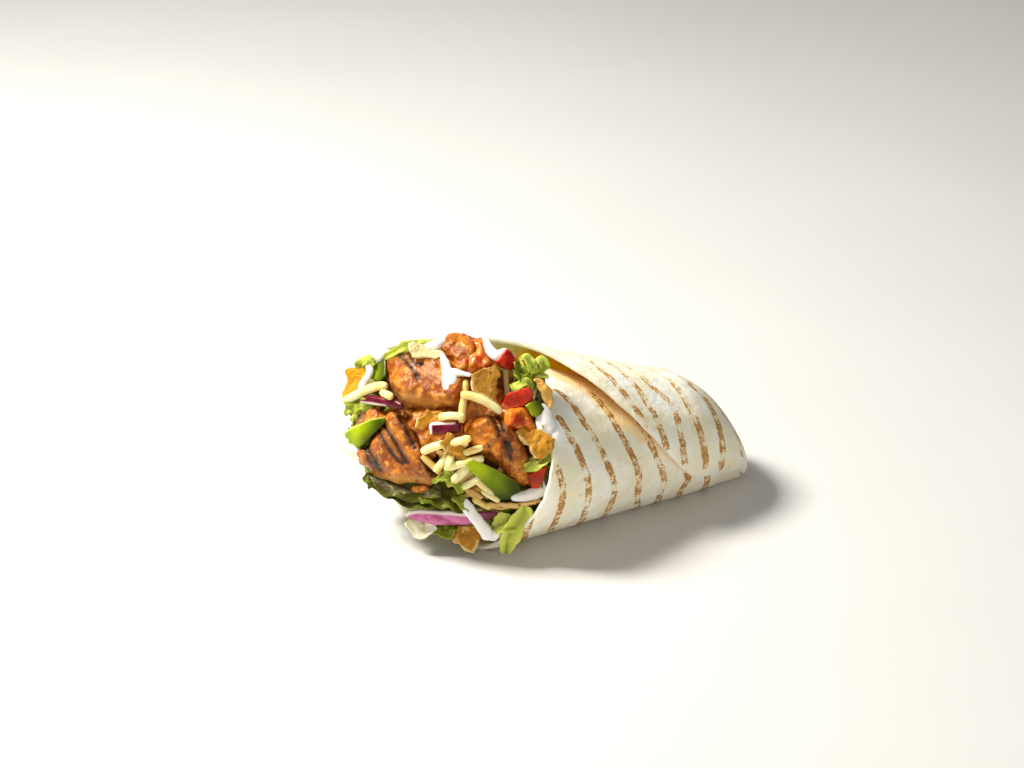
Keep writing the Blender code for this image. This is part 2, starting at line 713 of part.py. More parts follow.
def add_lettuce():
    def put(name, size, seed, ruffle, waves, right, up, sink, turn, roll=0, **form):
        settle(lay(leaf(name, size, seed, ruffle, waves, **form), right, up, sink, turn, roll=roll))

    put("lettuce_front", (15, 8), 51, 1.4, 0.8, -8.4, -5.4, -4.6, 58, roll=12)
    put("lettuce_curl", (14, 10), 52, 2.4, 1.3, -3.4, 46.0, 1.0, -42)
    put("lettuce_fold", (12, 7), 53, 1.8, 1.1, -7.6, 42.4, 3.5, 60)
    put("lettuce_right", (12, 6), 54, 1.5, 1.0, -0.4, 15.6, 0.0, 22)
    put("lettuce_bed", (28, 11), 55, 2.0, 1.6, -41.0, 8.0, 4.2, -6, columns=9)
    put("lettuce_strip", (16, 6), 56, 2.0, 1.4, -24.4, 7.4, 2.0, -40)
    put("lettuce_rib", (9, 6), 57, 0.8, 0.8, -37.4, -4.4, 1.4, -20)
    put("lettuce_under", (16, 8), 58, 1.4, 1.0, -28.5, -5.4, 3.6, 2)
    put("lettuce_left", (9, 5), 59, 0.9, 0.8, -61.6, 22.4, 1.2, -38)
    put("lettuce_side", (10, 5), 60, 1.2, 1.2, -59.4, 33.0, 2.4, 14)
    put("lettuce_top", (14, 5), 61, 1.2, 1.4, -46.0, 51.6, 1.0, 24)


def add_core():
    core = make_core()
    dice = random.Random(71)
    for k in range(7):
        right = -28 + dice.uniform(-9, 9)
        up = 14 + dice.uniform(-6, 6)
        piece = strand(f"core_strand_{k}", dice.uniform(8, 12), where=FUSED)
        lay(piece, right, up, CORE_DEPTH - 2.2, dice.uniform(-80, 80), pitch=dice.uniform(-25, 25))
    for k in range(4):
        right = -52 + dice.uniform(-7, 7)
        up = 14 + 9 * k + dice.uniform(-3, 3)
        piece = strand(f"core_side_{k}", dice.uniform(8, 12), where=FUSED)
        lay(piece, right, up, CORE_DEPTH - 1.8, dice.uniform(-80, 80), pitch=dice.uniform(-25, 25))
    fuse(core, FUSED)
    for room in ROOM.objects:
        if room.name != "floor_room":
            cut = core.modifiers.new(room.name, "BOOLEAN")
            cut.operation = "DIFFERENCE"
            cut.solver = "MANIFOLD"
            cut.object = room
    bake(core)
    keep_largest(core)


clear_scene()
PARTS = collection("chicken_wrap")
FUSED = collection("fused_strands")
TOOLS = collection("cutters", hidden=True)
ROOM = collection("rooms", hidden=True)

fatter(make_tortilla(), FIT_GAP, wrapped=False)
floor_room()
add_cream()
add_cheese()
add_chips()
add_vegetables()
add_chicken_on_top()
add_lettuce()
add_chicken_below()
add_core()
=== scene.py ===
"""The looks of a chicken wrap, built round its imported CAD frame, in the order in which it is put together.

Lengths in this file are millimetres, turned into metres by MM where a mesh is placed. Pieces of the filling
are drawn as they are served: right and up across the mouth, and up out of the heap towards the eater.
"""

import math
import random

import bmesh
import bpy
import numpy as np
from mathutils import Matrix, Vector, noise
from mathutils.bvhtree import BVHTree


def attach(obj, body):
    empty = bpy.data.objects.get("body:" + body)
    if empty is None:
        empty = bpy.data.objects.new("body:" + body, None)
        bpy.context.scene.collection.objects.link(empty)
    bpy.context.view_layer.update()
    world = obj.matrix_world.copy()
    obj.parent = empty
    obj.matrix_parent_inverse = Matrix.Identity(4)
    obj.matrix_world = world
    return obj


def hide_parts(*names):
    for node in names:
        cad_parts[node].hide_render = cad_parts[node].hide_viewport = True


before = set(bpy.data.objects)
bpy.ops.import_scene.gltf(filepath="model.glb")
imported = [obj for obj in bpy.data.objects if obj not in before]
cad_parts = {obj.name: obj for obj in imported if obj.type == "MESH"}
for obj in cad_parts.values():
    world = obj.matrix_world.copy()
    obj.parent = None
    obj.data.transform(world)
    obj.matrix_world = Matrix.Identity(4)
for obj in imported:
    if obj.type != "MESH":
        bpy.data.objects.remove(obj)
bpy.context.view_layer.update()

MM = 0.001

# ---------------------------------------------------------------- tortilla
# A soft wheat flatbread, 2 mm thick, griddled in stripes and then wound once and a third into a cone.
# Its start is tucked under the flap, and its far end is folded in on itself as the closed tip.

LAYER_PITCH = 2.7
START_ANGLE = 100.0
WOUND = 480
TIP_X = 70.5
CLOSING_FROM = 47.0
CLOSING_LENGTH = 23.5
RIM = (
    (0, 4), (50, -5), (105, -13), (140, -20), (165, -27), (235, -46), (285, -53),
    (322, -47), (342, -38), (354, -9), (372, 4), (455, 36), (471, 43), (WOUND, 51),
)
GRIDDLE_LINES = (
    ((250, -45), (300, -36), (350, -25)),
    ((225, -38), (280, -28), (350, -14)),
    ((190, -31), (250, -19), (345, -3)),
    ((150, -27), (200, -20), (300, 0), (360, 8)),
    ((104, -20), (122, -18), (139, -17.5), (250, 0), (374, 17), (404, 22), (427, 26)),
    ((88, -10), (102, -7.8), (118, -7.5), (146, -6.5), (260, 10), (379, 26), (404, 29), (445, 32.5)),
    ((58, -4), (73, -2), (102, 2), (144, 4.5), (270, 20), (390, 34), (408, 38.5), (440, 39), (468, 40)),
    ((34, 0), (43, 3), (67, 6), (94, 10.5), (112, 13), (140, 13.5), (260, 28), (388, 44.5), (416, 46),
     (468, 49)),
    ((26, 11), (37, 15), (70, 18), (104, 23), (125, 24), (162, 29.5), (270, 41), (385, 51.5), (400, 54.5),
     (474, 56)),
    ((60, 27), (84, 29.5), (114, 34), (135, 34.5), (260, 49), (391, 60), (426, 65), (450, 66)),
    ((90, 39), (122, 44.5), (140, 43.5), (260, 58), (380, 66)),
    ((110, 52), (142, 54.5), (240, 63)),
)
LINE_STRENGTH = (
    (0, 0.8), (30, 1.0), (150, 1.0), (200, 0.8), (330, 0.6), (352, 0.25), (376, 0.45), (392, 0.85),
    (450, 0.9), (WOUND, 0.85),
)
# Painted glow and shade: past this edge, under the flap, the near layer is tinted gold for the flap's shade
# warmed by light coming through the flap.
FLAP_GLOW_EDGE = ((0, -2), (20, 3), (28, 8), (36, 11.5), (46, 13.5), (56, 16), (66, 19), (80, 26), (100, 36),
              (120, 46))


def through(points, at):
    """The value at one place of a smooth curve through (place, value) points."""
    at = min(max(at, points[0][0]), points[-1][0])
    last = len(points) - 1
    i = next(k for k in range(last) if at <= points[k + 1][0])

    def slope(k):
        before, after = points[max(k - 1, 0)], points[min(k + 1, last)]
        return (after[1] - before[1]) / (after[0] - before[0])

    (x0, y0), (x1, y1) = points[i], points[i + 1]
    span = x1 - x0
    t = (at - x0) / span
    rise = t * (1 - t) * span * (slope(i) * (1 - t) - slope(i + 1) * t)
    return y0 + (y1 - y0) * t * t * (3 - 2 * t) + rise


def smooth_step(low, high, value):
    t = min(max((value - low) / (high - low), 0.0), 1.0)
    return t * t * (3 - 2 * t)


def closing(x, length=CLOSING_LENGTH):
    """How open the roll still is at x: 1 along the body, falling to 0 at the closed tip."""
    share = min(max(x - CLOSING_FROM, 0.0) / length, 1.0)
    return math.sqrt(1 - share * share)


def roll_radius(x):
    along = x + 22.0
    waist = 0.7 * math.exp(-(((x - 24.0) / 20.0) ** 2))
    return 32.3 - waist - 0.0975 * (along + math.hypot(along, 15.0))


def half_height(x):
    return max(roll_radius(x) * closing(x), 0.8)


def roll_centre(x):
    return half_height(x) + LAYER_PITCH * 190 / 360 + 0.1 + 0.8 * (1 - closing(x))


def section_point(x, angle, offset):
    """A point of the roll's section: angle 0 is the front, 90 the top, and offset is outwards."""
    turn = math.radians(angle)
    tall, wide = half_height(x), roll_radius(x) * 1.05 * closing(x, CLOSING_LENGTH * 1.18)
    slope = (half_height(x - 0.4) - tall) / 0.4
    steep = math.hypot(1, slope)
    flat = (wide - tall) * math.tanh(3 * math.cos(turn)) / math.tanh(3)
    where = Vector((x / 22, math.cos(turn) * 1.6, math.sin(turn) * 1.6))
    wave = 0.7 * noise.noise(where) * closing(x)
    reach = offset / steep + wave * smooth_step(-1.0, -0.6, math.sin(turn))
    y = -(flat + (tall + reach) * math.cos(turn))
    z = roll_centre(x) + (tall + reach) * math.sin(turn)
    return Vector((x + offset * slope / steep, y, z))


def tuck(x, turn):
    around = smooth_step(-50, 0, turn) * (1 - smooth_step(35, 110, turn))
    return 3.4 * around * (1 - smooth_step(20, 46, x))


def sheet_point(x, turn):
    """The sheet's middle, with the soft creases that rolling leaves in it."""
    pull = Vector((x / 19, turn / 26, 0))
    crease = 0.30 * noise.noise(pull) + 0.16 * noise.noise(pull * 3.1 + Vector((5, 0, 0)))
    crease *= closing(x)
    crease -= 1.0 * smooth_step(440, 476, turn) * smooth_step(38, 60, x)
    point = section_point(x, START_ANGLE - turn, LAYER_PITCH * turn / 360 - tuck(x, turn) + crease)
    height = point.z - 1.0
    if height < 6.0:
        height = max(height - 1.3, 0.0) * 6.0 / 4.7
    point.z = 1.0 + height
    return point


def piece_from(name, bm, *materials, sharp=None):
    """An object from a bmesh that is already in place, in metres."""
    mesh = bpy.data.meshes.new(name)
    bm.to_mesh(mesh)
    bm.free()
    for made in materials:
        mesh.materials.append(made)
    mesh.shade_smooth()
    if sharp:
        mesh.set_sharp_from_angle(angle=math.radians(sharp))
    obj = bpy.data.objects.new(name, mesh)
    bpy.context.scene.collection.objects.link(obj)
    return obj


def settled(obj):
    """The object with its modifiers applied."""
    bpy.context.view_layer.update()
    graph = bpy.context.evaluated_depsgraph_get()
    mesh = bpy.data.meshes.new_from_object(obj.evaluated_get(graph), depsgraph=graph)
    obj.modifiers.clear()
    obj.data = mesh
    return obj


def tone(red, green, blue):
    """A colour as a paint chart gives it, 0 to 255, in linear light."""
    chart = (red, green, blue)
    return tuple(((c / 255 + 0.055) / 1.055) ** 2.4 if c > 10 else c / 3295 for c in chart) + (1.0,)


def add(tree, kind, *inputs, out=0, **settings):
    """A node whose first inputs are given in order, as sockets or values; returns one of its outputs."""
    made = tree.nodes.new(kind)
    for key, value in settings.items():
        setattr(made, key, value)
    for socket, value in zip(made.inputs, inputs):
        if isinstance(value, bpy.types.NodeSocket):
            tree.links.new(value, socket)
        elif value is not None:
            socket.default_value = value
    return made.outputs[out]


def sum_of(tree, a, b, how="ADD"):
    return add(tree, "ShaderNodeMath", a, b, operation=how)


def ease(tree, value, low, high, start=0.0, end=1.0):
    return add(tree, "ShaderNodeMapRange", value, low, high, start, end, interpolation_type="SMOOTHSTEP")


def lay_over(tree, amount, under, over):
    """Colour `over` laid on colour `under` by an amount."""
    made = tree.nodes.new("ShaderNodeMix")
    made.data_type = "RGBA"
    for socket, value in ((made.inputs[0], amount), (made.inputs[6], under), (made.inputs[7], over)):
        if isinstance(value, bpy.types.NodeSocket):
            tree.links.new(value, socket)
        else:
            socket.default_value = value
    return made.outputs[2]


def attribute(tree, name):
    return add(tree, "ShaderNodeAttribute", out=2, attribute_name=name)


def grain(tree, scale, detail=3.0, rough=0.55, stretch=None):
    """Noise on the object's own coordinates, from 0 to 1; scale is features to the metre."""
    where = add(tree, "ShaderNodeTexCoord", out=3)
    if stretch:
        where = add(tree, "ShaderNodeMapping", where, None, None, stretch)
    return add(tree, "ShaderNodeTexNoise", where, None, scale, detail, rough)


def patches(tree, under, over, scale, detail, low, high, most=1.0, **noise_settings):
    """Colour `over` laid on `under` in patches, where the noise lies between low and high."""
    noisy = grain(tree, scale, detail, **noise_settings)
    return lay_over(tree, ease(tree, noisy, low, high, 0.0, most), under, over)


def tinted(tree, name, under, over, most=1.0, low=0.0, high=1.0):
    """Colour `over` laid on `under` where the value painted on the mesh is high."""
    return lay_over(tree, ease(tree, attribute(tree, name), low, high, 0.0, most), under, over)


def group_of(name, **sockets):
    """An empty shader group with its named inputs, and its input and output nodes."""
    tree = bpy.data.node_groups.new(name, "ShaderNodeTree")
    for key, (way, kind) in sockets.items():
        tree.interface.new_socket(key, in_out=way, socket_type=kind)
    return tree, tree.nodes.new("NodeGroupInput"), tree.nodes.new("NodeGroupOutput")


def make_speckle():
    """Small scattered flecks: scale is flecks to the metre, size their share of the spacing."""
    tree, given, result = group_of(
        "speckle", Scale=("INPUT", "NodeSocketFloat"), Size=("INPUT", "NodeSocketFloat"),
        Share=("INPUT", "NodeSocketFloat"), Mask=("OUTPUT", "NodeSocketFloat"),
    )
    where = add(tree, "ShaderNodeTexCoord", out=3)
    wobble = add(tree, "ShaderNodeTexNoise", where, None, 900.0, 2.0, out=1)
    where = add(tree, "ShaderNodeVectorMath", where, wobble, operation="ADD")
    shift = add(tree, "ShaderNodeVectorMath", wobble, (0.0006, 0.0006, 0.0006), operation="MULTIPLY")
    tree.links.new(shift, where.node.inputs[1])
    cells = tree.nodes.new("ShaderNodeTexVoronoi")
    tree.links.new(where, cells.inputs["Vector"])
    tree.links.new(given.outputs["Scale"], cells.inputs["Scale"])
    inner = sum_of(tree, given.outputs["Size"], 0.5, "MULTIPLY")
    dot = add(
        tree, "ShaderNodeMapRange", cells.outputs["Distance"], inner, given.outputs["Size"], 1.0, 0.0,
        interpolation_type="SMOOTHSTEP",
    )
    chosen = add(tree, "ShaderNodeSeparateColor", cells.outputs["Color"])
    chosen = sum_of(tree, chosen, given.outputs["Share"], "LESS_THAN")
    tree.links.new(sum_of(tree, dot, chosen, "MULTIPLY"), result.inputs["Mask"])
    return tree


SPECKLE = make_speckle()


def specked(tree, scale, size, share):
    made = tree.nodes.new("ShaderNodeGroup")
    made.node_tree = SPECKLE
    for key, value in (("Scale", scale), ("Size", size), ("Share", share)):
        made.inputs[key].default_value = value
    return made.outputs["Mask"]


def finish(name, colour, rough=0.5, bump=None, depth=0.1, coat=0.0, soft=0.0, glow=(1.0, 0.5, 0.3),
           soft_scale=1.5, shine=0.25):
    """A material: `colour` builds the colour and, where it varies, the roughness; `bump` the relief."""
    made = bpy.data.materials.new(name)
    made.use_nodes = True
    tree = made.node_tree
    shader = tree.nodes["Principled BSDF"]
    built = colour(tree)
    colour_out, rough_out = built if isinstance(built, tuple) else (built, None)
    tree.links.new(colour_out, shader.inputs["Base Color"])
    if rough_out is None:
        shader.inputs["Roughness"].default_value = rough
    else:
        tree.links.new(rough_out, shader.inputs["Roughness"])
    shader.inputs["Coat Weight"].default_value = coat
    shader.inputs["Coat Roughness"].default_value = 0.12
    shader.inputs["Subsurface Weight"].default_value = soft
    shader.inputs["Subsurface Radius"].default_value = glow
    shader.inputs["Subsurface Scale"].default_value = soft_scale * MM
    shader.inputs["Specular IOR Level"].default_value = shine
    shader.inputs["Specular Tint"].default_value = (1.0, 0.78, 0.50, 1.0)
    if bump:
        relief = tree.nodes.new("ShaderNodeBump")
        relief.inputs["Strength"].default_value = 1.0
        relief.inputs["Distance"].default_value = depth * MM
        tree.links.new(bump(tree), relief.inputs["Height"])
        tree.links.new(relief.outputs["Normal"], shader.inputs["Normal"])
        tree.links.new(relief.outputs["Normal"], shader.inputs["Coat Normal"])
    return made


def bread_colour(tree):
    crumb = patches(tree, tone(244, 236, 206), tone(252, 249, 234), 90, 4, 0.38, 0.66)
    return patches(tree, crumb, tone(226, 206, 160), 420, 3, 0.58, 0.72, 0.35)


def griddled_colour(tree):
    """Pale bread with golden freckles, crossed by the broken brown stipple of the griddle's bars."""
    base = bread_colour(tree)
    freckles = specked(tree, 260.0, 0.26, 0.22)
    base = lay_over(tree, sum_of(tree, freckles, 0.34, "MULTIPLY"), base, tone(228, 186, 112))
    # Painted glow: the near layer under the flap is tinted gold, standing in for the flap's shade warmed by
    # light through it.
    painted_flap_glow = sum_of(tree, attribute(tree, "painted_flap_glow"), 0.6, "MULTIPLY")
    base = lay_over(tree, painted_flap_glow, base, tone(252, 208, 116))
    strength = attribute(tree, "strength")
    wander = sum_of(tree, sum_of(tree, grain(tree, 620, 3), 0.5, "SUBTRACT"), 1.1, "MULTIPLY")
    line = sum_of(tree, attribute(tree, "from_line"), wander)
    laid = sum_of(tree, grain(tree, 1900, 2, 0.6), grain(tree, 300, 4))
    for part in (
        ease(tree, line, 1.0, 1.8, 0.0, -0.6),
        ease(tree, line, 0.2, 1.2, -0.02, 0.05),
        ease(tree, strength, 0.0, 1.0, -0.24, 0.0),
        ease(tree, grain(tree, 150, 2), 0.36, 0.56, -0.12, 0.05),
    ):
        laid = sum_of(tree, laid, part)
    base = lay_over(tree, ease(tree, laid, 0.7, 1.0, 0.0, 0.6), base, tone(236, 196, 122))
    char = lay_over(tree, ease(tree, strength, 0.8, 1.0), tone(208, 156, 80), tone(184, 128, 54))
    char = patches(tree, char, tone(126, 76, 26), 1300, 2, 0.46, 0.62, 0.8)
    return lay_over(tree, ease(tree, laid, 0.94, 1.04, 0.0, 0.9), base, char)


def bread_relief(tree):
    creases = sum_of(tree, grain(tree, 110, 5, 0.6, stretch=(1.0, 2.2, 1.6)), 1.1, "MULTIPLY")
    pores = sum_of(tree, grain(tree, 480, 4), 0.6, "MULTIPLY")
    return sum_of(tree, creases, sum_of(tree, pores, sum_of(tree, grain(tree, 1500, 3), 0.3, "MULTIPLY")))


def lit_colour(tree):
    """The inside of the sheet, golden under the flap, where the light comes through it."""
    crumb = lay_over(tree, 0.4, bread_colour(tree), tone(255, 226, 184))
    return tinted(tree, "golden", crumb, tone(255, 192, 84), 0.9)


griddled = finish("griddled_bread", griddled_colour, 0.62, bread_relief, 0.45, soft=0.35,
                  glow=(1.0, 0.8, 0.5), soft_scale=3.0, shine=0.15)
bread = finish("bread_inside", lit_colour, 0.68, bread_relief, 0.25, soft=1.0, glow=(1.0, 0.85, 0.55),
               soft_scale=6.0, shine=0.15)

COLUMNS, ROWS = 280, 130
turns = [WOUND * k / COLUMNS for k in range(COLUMNS + 1)]
edges = [through(RIM, t) + 0.5 * noise.noise(Vector((t / 9, 3, 0))) for t in turns]
strengths = [through(LINE_STRENGTH, t) for t in turns]
lines = [[(through(p, t), min(t - p[0][0], p[-1][0] - t)) for p in GRIDDLE_LINES] for t in turns]

bm = bmesh.new()
bmesh.ops.create_grid(bm, x_segments=COLUMNS, y_segments=ROWS, size=1)
from_line = bm.verts.layers.float.new("from_line")
strength = bm.verts.layers.float.new("strength")
painted_flap_glow = bm.verts.layers.float.new("painted_flap_glow")
golden = bm.verts.layers.float.new("golden")
weights = bm.verts.layers.deform.verify()
for vert in bm.verts:
    column = round((vert.co.x + 1) / 2 * COLUMNS)
    share = 1 - (1 - (vert.co.y + 1) / 2) ** 1.35
    turn, edge = turns[column], edges[column]
    x = edge + (TIP_X - 0.5 * smooth_step(400, WOUND, turn) - edge) * share
    near, fade = min((abs(x - place) + 6 * smooth_step(2, -8, fade), fade) for place, fade in lines[column])
    vert[from_line] = min(near, 8.0)
    vert[strength] = strengths[column] * (1 - 0.5 * smooth_step(60, 68, x))
    # painted glow under the flap, from its edge inwards
    beyond = x - through(FLAP_GLOW_EDGE, turn)
    vert[painted_flap_glow] = smooth_step(-1.0, 1.6, beyond) * (1 - smooth_step(60, 105, turn))
    vert[golden] = smooth_step(290, 314, turn) * smooth_step(-4.0, 8.0, x) * smooth_step(0.3, 1.5, x - edge)
    out_of_rim = min((x - edge) / 1.8, 1.0) * min(turn / 5, 1.0) * min((WOUND - turn) / 5, 1.0)
    vert[weights][0] = 0.55 + 0.45 * min(max(out_of_rim, 0.0), 1.0)
    vert.co = sheet_point(x, turn) * MM
bm.normal_update()
upright = [f for f in bm.faces if abs(f.normal.z) > 0.9 and f.calc_center_median().z > 0.05]
if sum(f.normal.z for f in upright) < 0:
    bmesh.ops.reverse_faces(bm, faces=bm.faces)
tortilla = piece_from("flatbread", bm, griddled, bread)
tortilla.vertex_groups.new(name="thickness")
wall = tortilla.modifiers.new("thickness", "SOLIDIFY")
wall.thickness = 2.0 * MM
wall.offset = 0
wall.vertex_group = "thickness"
wall.thickness_vertex_group = 0.0
wall.material_offset = 1
wall.material_offset_rim = 1
settled(tortilla)
tortilla.data.set_sharp_from_angle(angle=math.radians(55))
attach(tortilla, "root")
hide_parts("tortilla")

# ---------------------------------------------------------------- bed of the filling
# Chopped lettuce, grated cheese and juices packed in the roll, moist between the pieces that lie on it and
# painted dark for the shade there: dark leaf green at the sides and dark sauce brown in the middle. It is one
# mass with a ragged skin, and carries all that shows.

SERVING = (math.radians(-26.0), math.radians(30.6))
OUT = Vector((
    math.sin(SERVING[0]) * math.cos(SERVING[1]),
    -math.cos(SERVING[0]) * math.cos(SERVING[1]),
    math.sin(SERVING[1]),
))
RIGHT = Vector((math.cos(SERVING[0]), math.sin(SERVING[0]), 0))
AXES = Matrix((RIGHT, OUT.cross(RIGHT), OUT)).transposed()


def heap_height(right, up):
    return 46.0 - 0.0095 * (right + 15.0) ** 2 - 0.0125 * (up - 30.0) ** 2


def spot(right, up, top=0.0):
    """A place on the heap, in metres: top is how far it lies above the heap's surface."""
    return AXES @ Vector((right, up, heap_height(right, up) + top)) * MM


def remeshed(bm, voxel):
    """The closed mesh as an even skin of small quads."""
    raw = piece_from("raw", bm)
    skin = raw.modifiers.new("skin", "REMESH")
    skin.mode = "VOXEL"
    skin.voxel_size = voxel
    settled(raw)
    even = bmesh.new()
    even.from_mesh(raw.data)
    bpy.data.objects.remove(raw)
    return even


def soften(bm, times, factor=0.5):
    for _ in range(times):
        bmesh.ops.smooth_vert(
            bm, verts=bm.verts, factor=factor, use_axis_x=True, use_axis_y=True, use_axis_z=True
        )


def roughen(bm, *lumps, seed=0, unit=1.0):
    """Moves the skin in and out: each lump is (height, size across), and `unit` is the mesh's millimetre."""
    bm.normal_update()
    moves = []
    for vert in bm.verts:
        where = vert.co / unit + Vector((seed * 17.3, seed * 5.1, 0))
        moves.append(sum(h * noise.noise(where / size) for h, size in lumps) * unit)
    for vert, move in zip(bm.verts, moves):
        vert.co += vert.normal * move


def from_middle(place):
    """How far a place is from the middle of the heap, where the sauced pieces lie: 1 at their limit."""
    right, up, out = AXES.transposed() @ place / MM
    deep = max(heap_height(right, up) - 12.0 - out, 0.0) / 8.0
    chunks = math.hypot((right + 28) / 25, (up - 36) / 17)
    return min(chunks, math.hypot((right + 21) / 14, (up - 14) / 11)) + deep


def bed_colour(tree):
    # Both colours are kept dark as painted shade for the hollows between the pieces.
    leafy = patches(tree, tone(52, 44, 14), tone(104, 100, 30), 260, 4, 0.36, 0.6)
    saucy_in_shade = patches(tree, tone(84, 42, 10), tone(150, 90, 22), 200, 4, 0.36, 0.62)
    return lay_over(tree, attribute(tree, "leafy"), saucy_in_shade, leafy)


bm = bmesh.new()
bm.from_mesh(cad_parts["filling"].data)
bmesh.ops.remove_doubles(bm, verts=bm.verts, dist=0.00001)
bm = remeshed(bm, 0.9 * MM)
soften(bm, 2)
roughen(bm, (1.5, 4.0), (0.8, 1.7), unit=MM)
leafy = bm.verts.layers.float.new("leafy")
for vert in bm.verts:
    vert[leafy] = smooth_step(0.8, 1.15, from_middle(vert.co))
bed = piece_from(
    "salad_bed", bm,
    finish("moist_bed_in_painted_shade", bed_colour, 0.45, lambda tree: grain(tree, 700, 4), 0.5),
)
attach(bed, "root")
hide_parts("filling")

# ---------------------------------------------------------------- grilled chicken
# Chunks of thigh meat, grilled and turned in a hot orange sauce. The bars have burnt two thin dark lines
# wherever a chunk lay across them, and the sauce stands glossy in the creases.


def torn(outline, ragged, seed):
    """The outline with a broken edge, jagged every millimetre or so."""
    dice = random.Random(seed)
    broken = []
    for k, first in enumerate(outline):
        a, b = Vector(first), Vector(outline[(k + 1) % len(outline)])
        steps = max(round((b - a).length / 1.1), 1)
        across = Vector((b.y - a.y, a.x - b.x)).normalized()
        broken += [a.lerp(b, j / steps) + across * dice.uniform(-ragged, ragged) for j in range(steps)]
    return [tuple(point) for point in broken]


def outline_edges(outline):
    a = np.array(outline, float)
    return a, np.roll(a, -1, axis=0)


def from_segments(points, a, b):
    """How far each point is from the nearest of the lines a-b."""
    ab = b - a
    ap = points[:, None, :] - a[None]
    t = np.clip((ap * ab).sum(2) / np.maximum((ab**2).sum(1), 1e-9), 0, 1)
    return np.sqrt(((ap - t[..., None] * ab) ** 2).sum(2)).min(1)


def slab(outline, thick, edge, voxel=0.55, lumps=(), seed=0, smooth=2, ragged=0.0):
    """A slab cut to an outline, with rounded edges `edge` deep: its top is at 0 and its foot at -thick."""
    if ragged:
        outline = torn(outline, ragged, seed)
    bm = bmesh.new()
    bm.faces.new([bm.verts.new((r, u, 0)) for r, u in outline])
    grown = bmesh.ops.extrude_face_region(bm, geom=list(bm.faces))
    foot = [v for v in grown["geom"] if isinstance(v, bmesh.types.BMVert)]
    bmesh.ops.translate(bm, vec=(0, 0, -thick), verts=foot)
    bmesh.ops.recalc_face_normals(bm, faces=bm.faces)
    bm = remeshed(bm, voxel)
    soften(bm, smooth)
    co = np.array([v.co for v in bm.verts])
    inside = from_segments(co[:, :2], *outline_edges(outline))
    share = np.clip(inside / edge, 0.0, 1.0)
    squeeze = np.sqrt(np.clip(1 - (1 - share) ** 2, 0.05, 1))
    for vert, s in zip(bm.verts, squeeze):
        vert.co.z = -thick / 2 + (vert.co.z + thick / 2) * s
    roughen(bm, *lumps, seed=seed)
    return bm


def paint(bm, name, values):
    layer = bm.verts.layers.float.new(name)
    for vert, value in zip(bm.verts, values):
        vert[layer] = float(value)


def flat_points(bm):
    return np.array([v.co for v in bm.verts])


def place_on_heap(bm, top, tilt=(0.0, 0.0), wave=0.0, level=False):
    """Lays a flat-drawn piece on the heap: tilt is its rise towards the right and towards the top.

    A level piece stays flat, as stiff ones do; the others follow the heap's curve.
    """
    middle = flat_points(bm).mean(0)
    height = heap_height(middle[0], middle[1])
    for vert in bm.verts:
        r, u, w = vert.co
        lean = tilt[0] * (r - middle[0]) + tilt[1] * (u - middle[1])
        lean += wave * noise.noise(Vector((r / 6, u / 6, middle[0])))
        if level:
            vert.co = AXES @ Vector((r, u, height + top + w + lean)) * MM
        else:
            vert.co = spot(r, u, top + w + lean)
    return bm


def near_line(bm, line, width):
    """1 on a line drawn on the piece, falling to 0 at `width` from it."""
    a = np.array(line, float)
    return np.clip(1 - from_segments(flat_points(bm)[:, :2], a[:-1], a[1:]) / width, 0, 1)


def carried(obj, node):
    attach(obj, "root")
    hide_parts(node)
    return obj


def chicken_colour(tree):
    """Orange sauce over pale meat, flecked with chilli, and burnt where a bar lay; with its roughness."""
    sauce = patches(tree, tone(146, 64, 6), tone(202, 120, 26), 150, 4, 0.38, 0.62)
    # The small pale patches are painted highlights on the sauce and the small dark ones painted shade, both
    # scattered at random.
    sauce = patches(tree, sauce, tone(230, 166, 70), 560, 4, 0.50, 0.66, 0.7, rough=0.7)
    sauce = patches(tree, sauce, tone(104, 36, 4), 430, 4, 0.54, 0.68, 0.75, rough=0.7)
    sauce = patches(tree, sauce, tone(186, 56, 10), 210, 3, 0.60, 0.74, stretch=(1, 1.4, 0.7))
    sauce = tinted(tree, "meat", sauce, tone(214, 156, 80), 0.7, 0.2, 0.8)
    specks = sum_of(tree, specked(tree, 260.0, 0.22, 0.16), 0.8, "MULTIPLY")
    sauce = lay_over(tree, specks, sauce, tone(70, 28, 12))
    worn = sum_of(tree, attribute(tree, "from_bar"), sum_of(tree, grain(tree, 700, 4), 1.5, "MULTIPLY"))
    scorched = ease(tree, worn, 1.5, 3.0, 0.6, 0.0)
    sauce = lay_over(tree, scorched, sauce, tone(104, 42, 14))
    burnt = ease(tree, worn, 1.05, 1.6, 0.93, 0.0)
    colour = lay_over(tree, burnt, sauce, tone(38, 16, 10))
    return colour, ease(tree, grain(tree, 240, 3), 0.35, 0.65, 0.18, 0.42)


def chicken_relief(tree):
    fibres = sum_of(tree, grain(tree, 800, 4, 0.65, stretch=(1.0, 0.4, 1.0)), 0.6, "MULTIPLY")
    return sum_of(tree, fibres, grain(tree, 300, 4), "ADD")


CHICKEN = finish(
    "grilled_chicken_skin", chicken_colour, bump=chicken_relief, depth=0.8, coat=0.25, shine=0.4,
    soft=0.15, glow=(1.0, 0.35, 0.12), soft_scale=1.6,
)


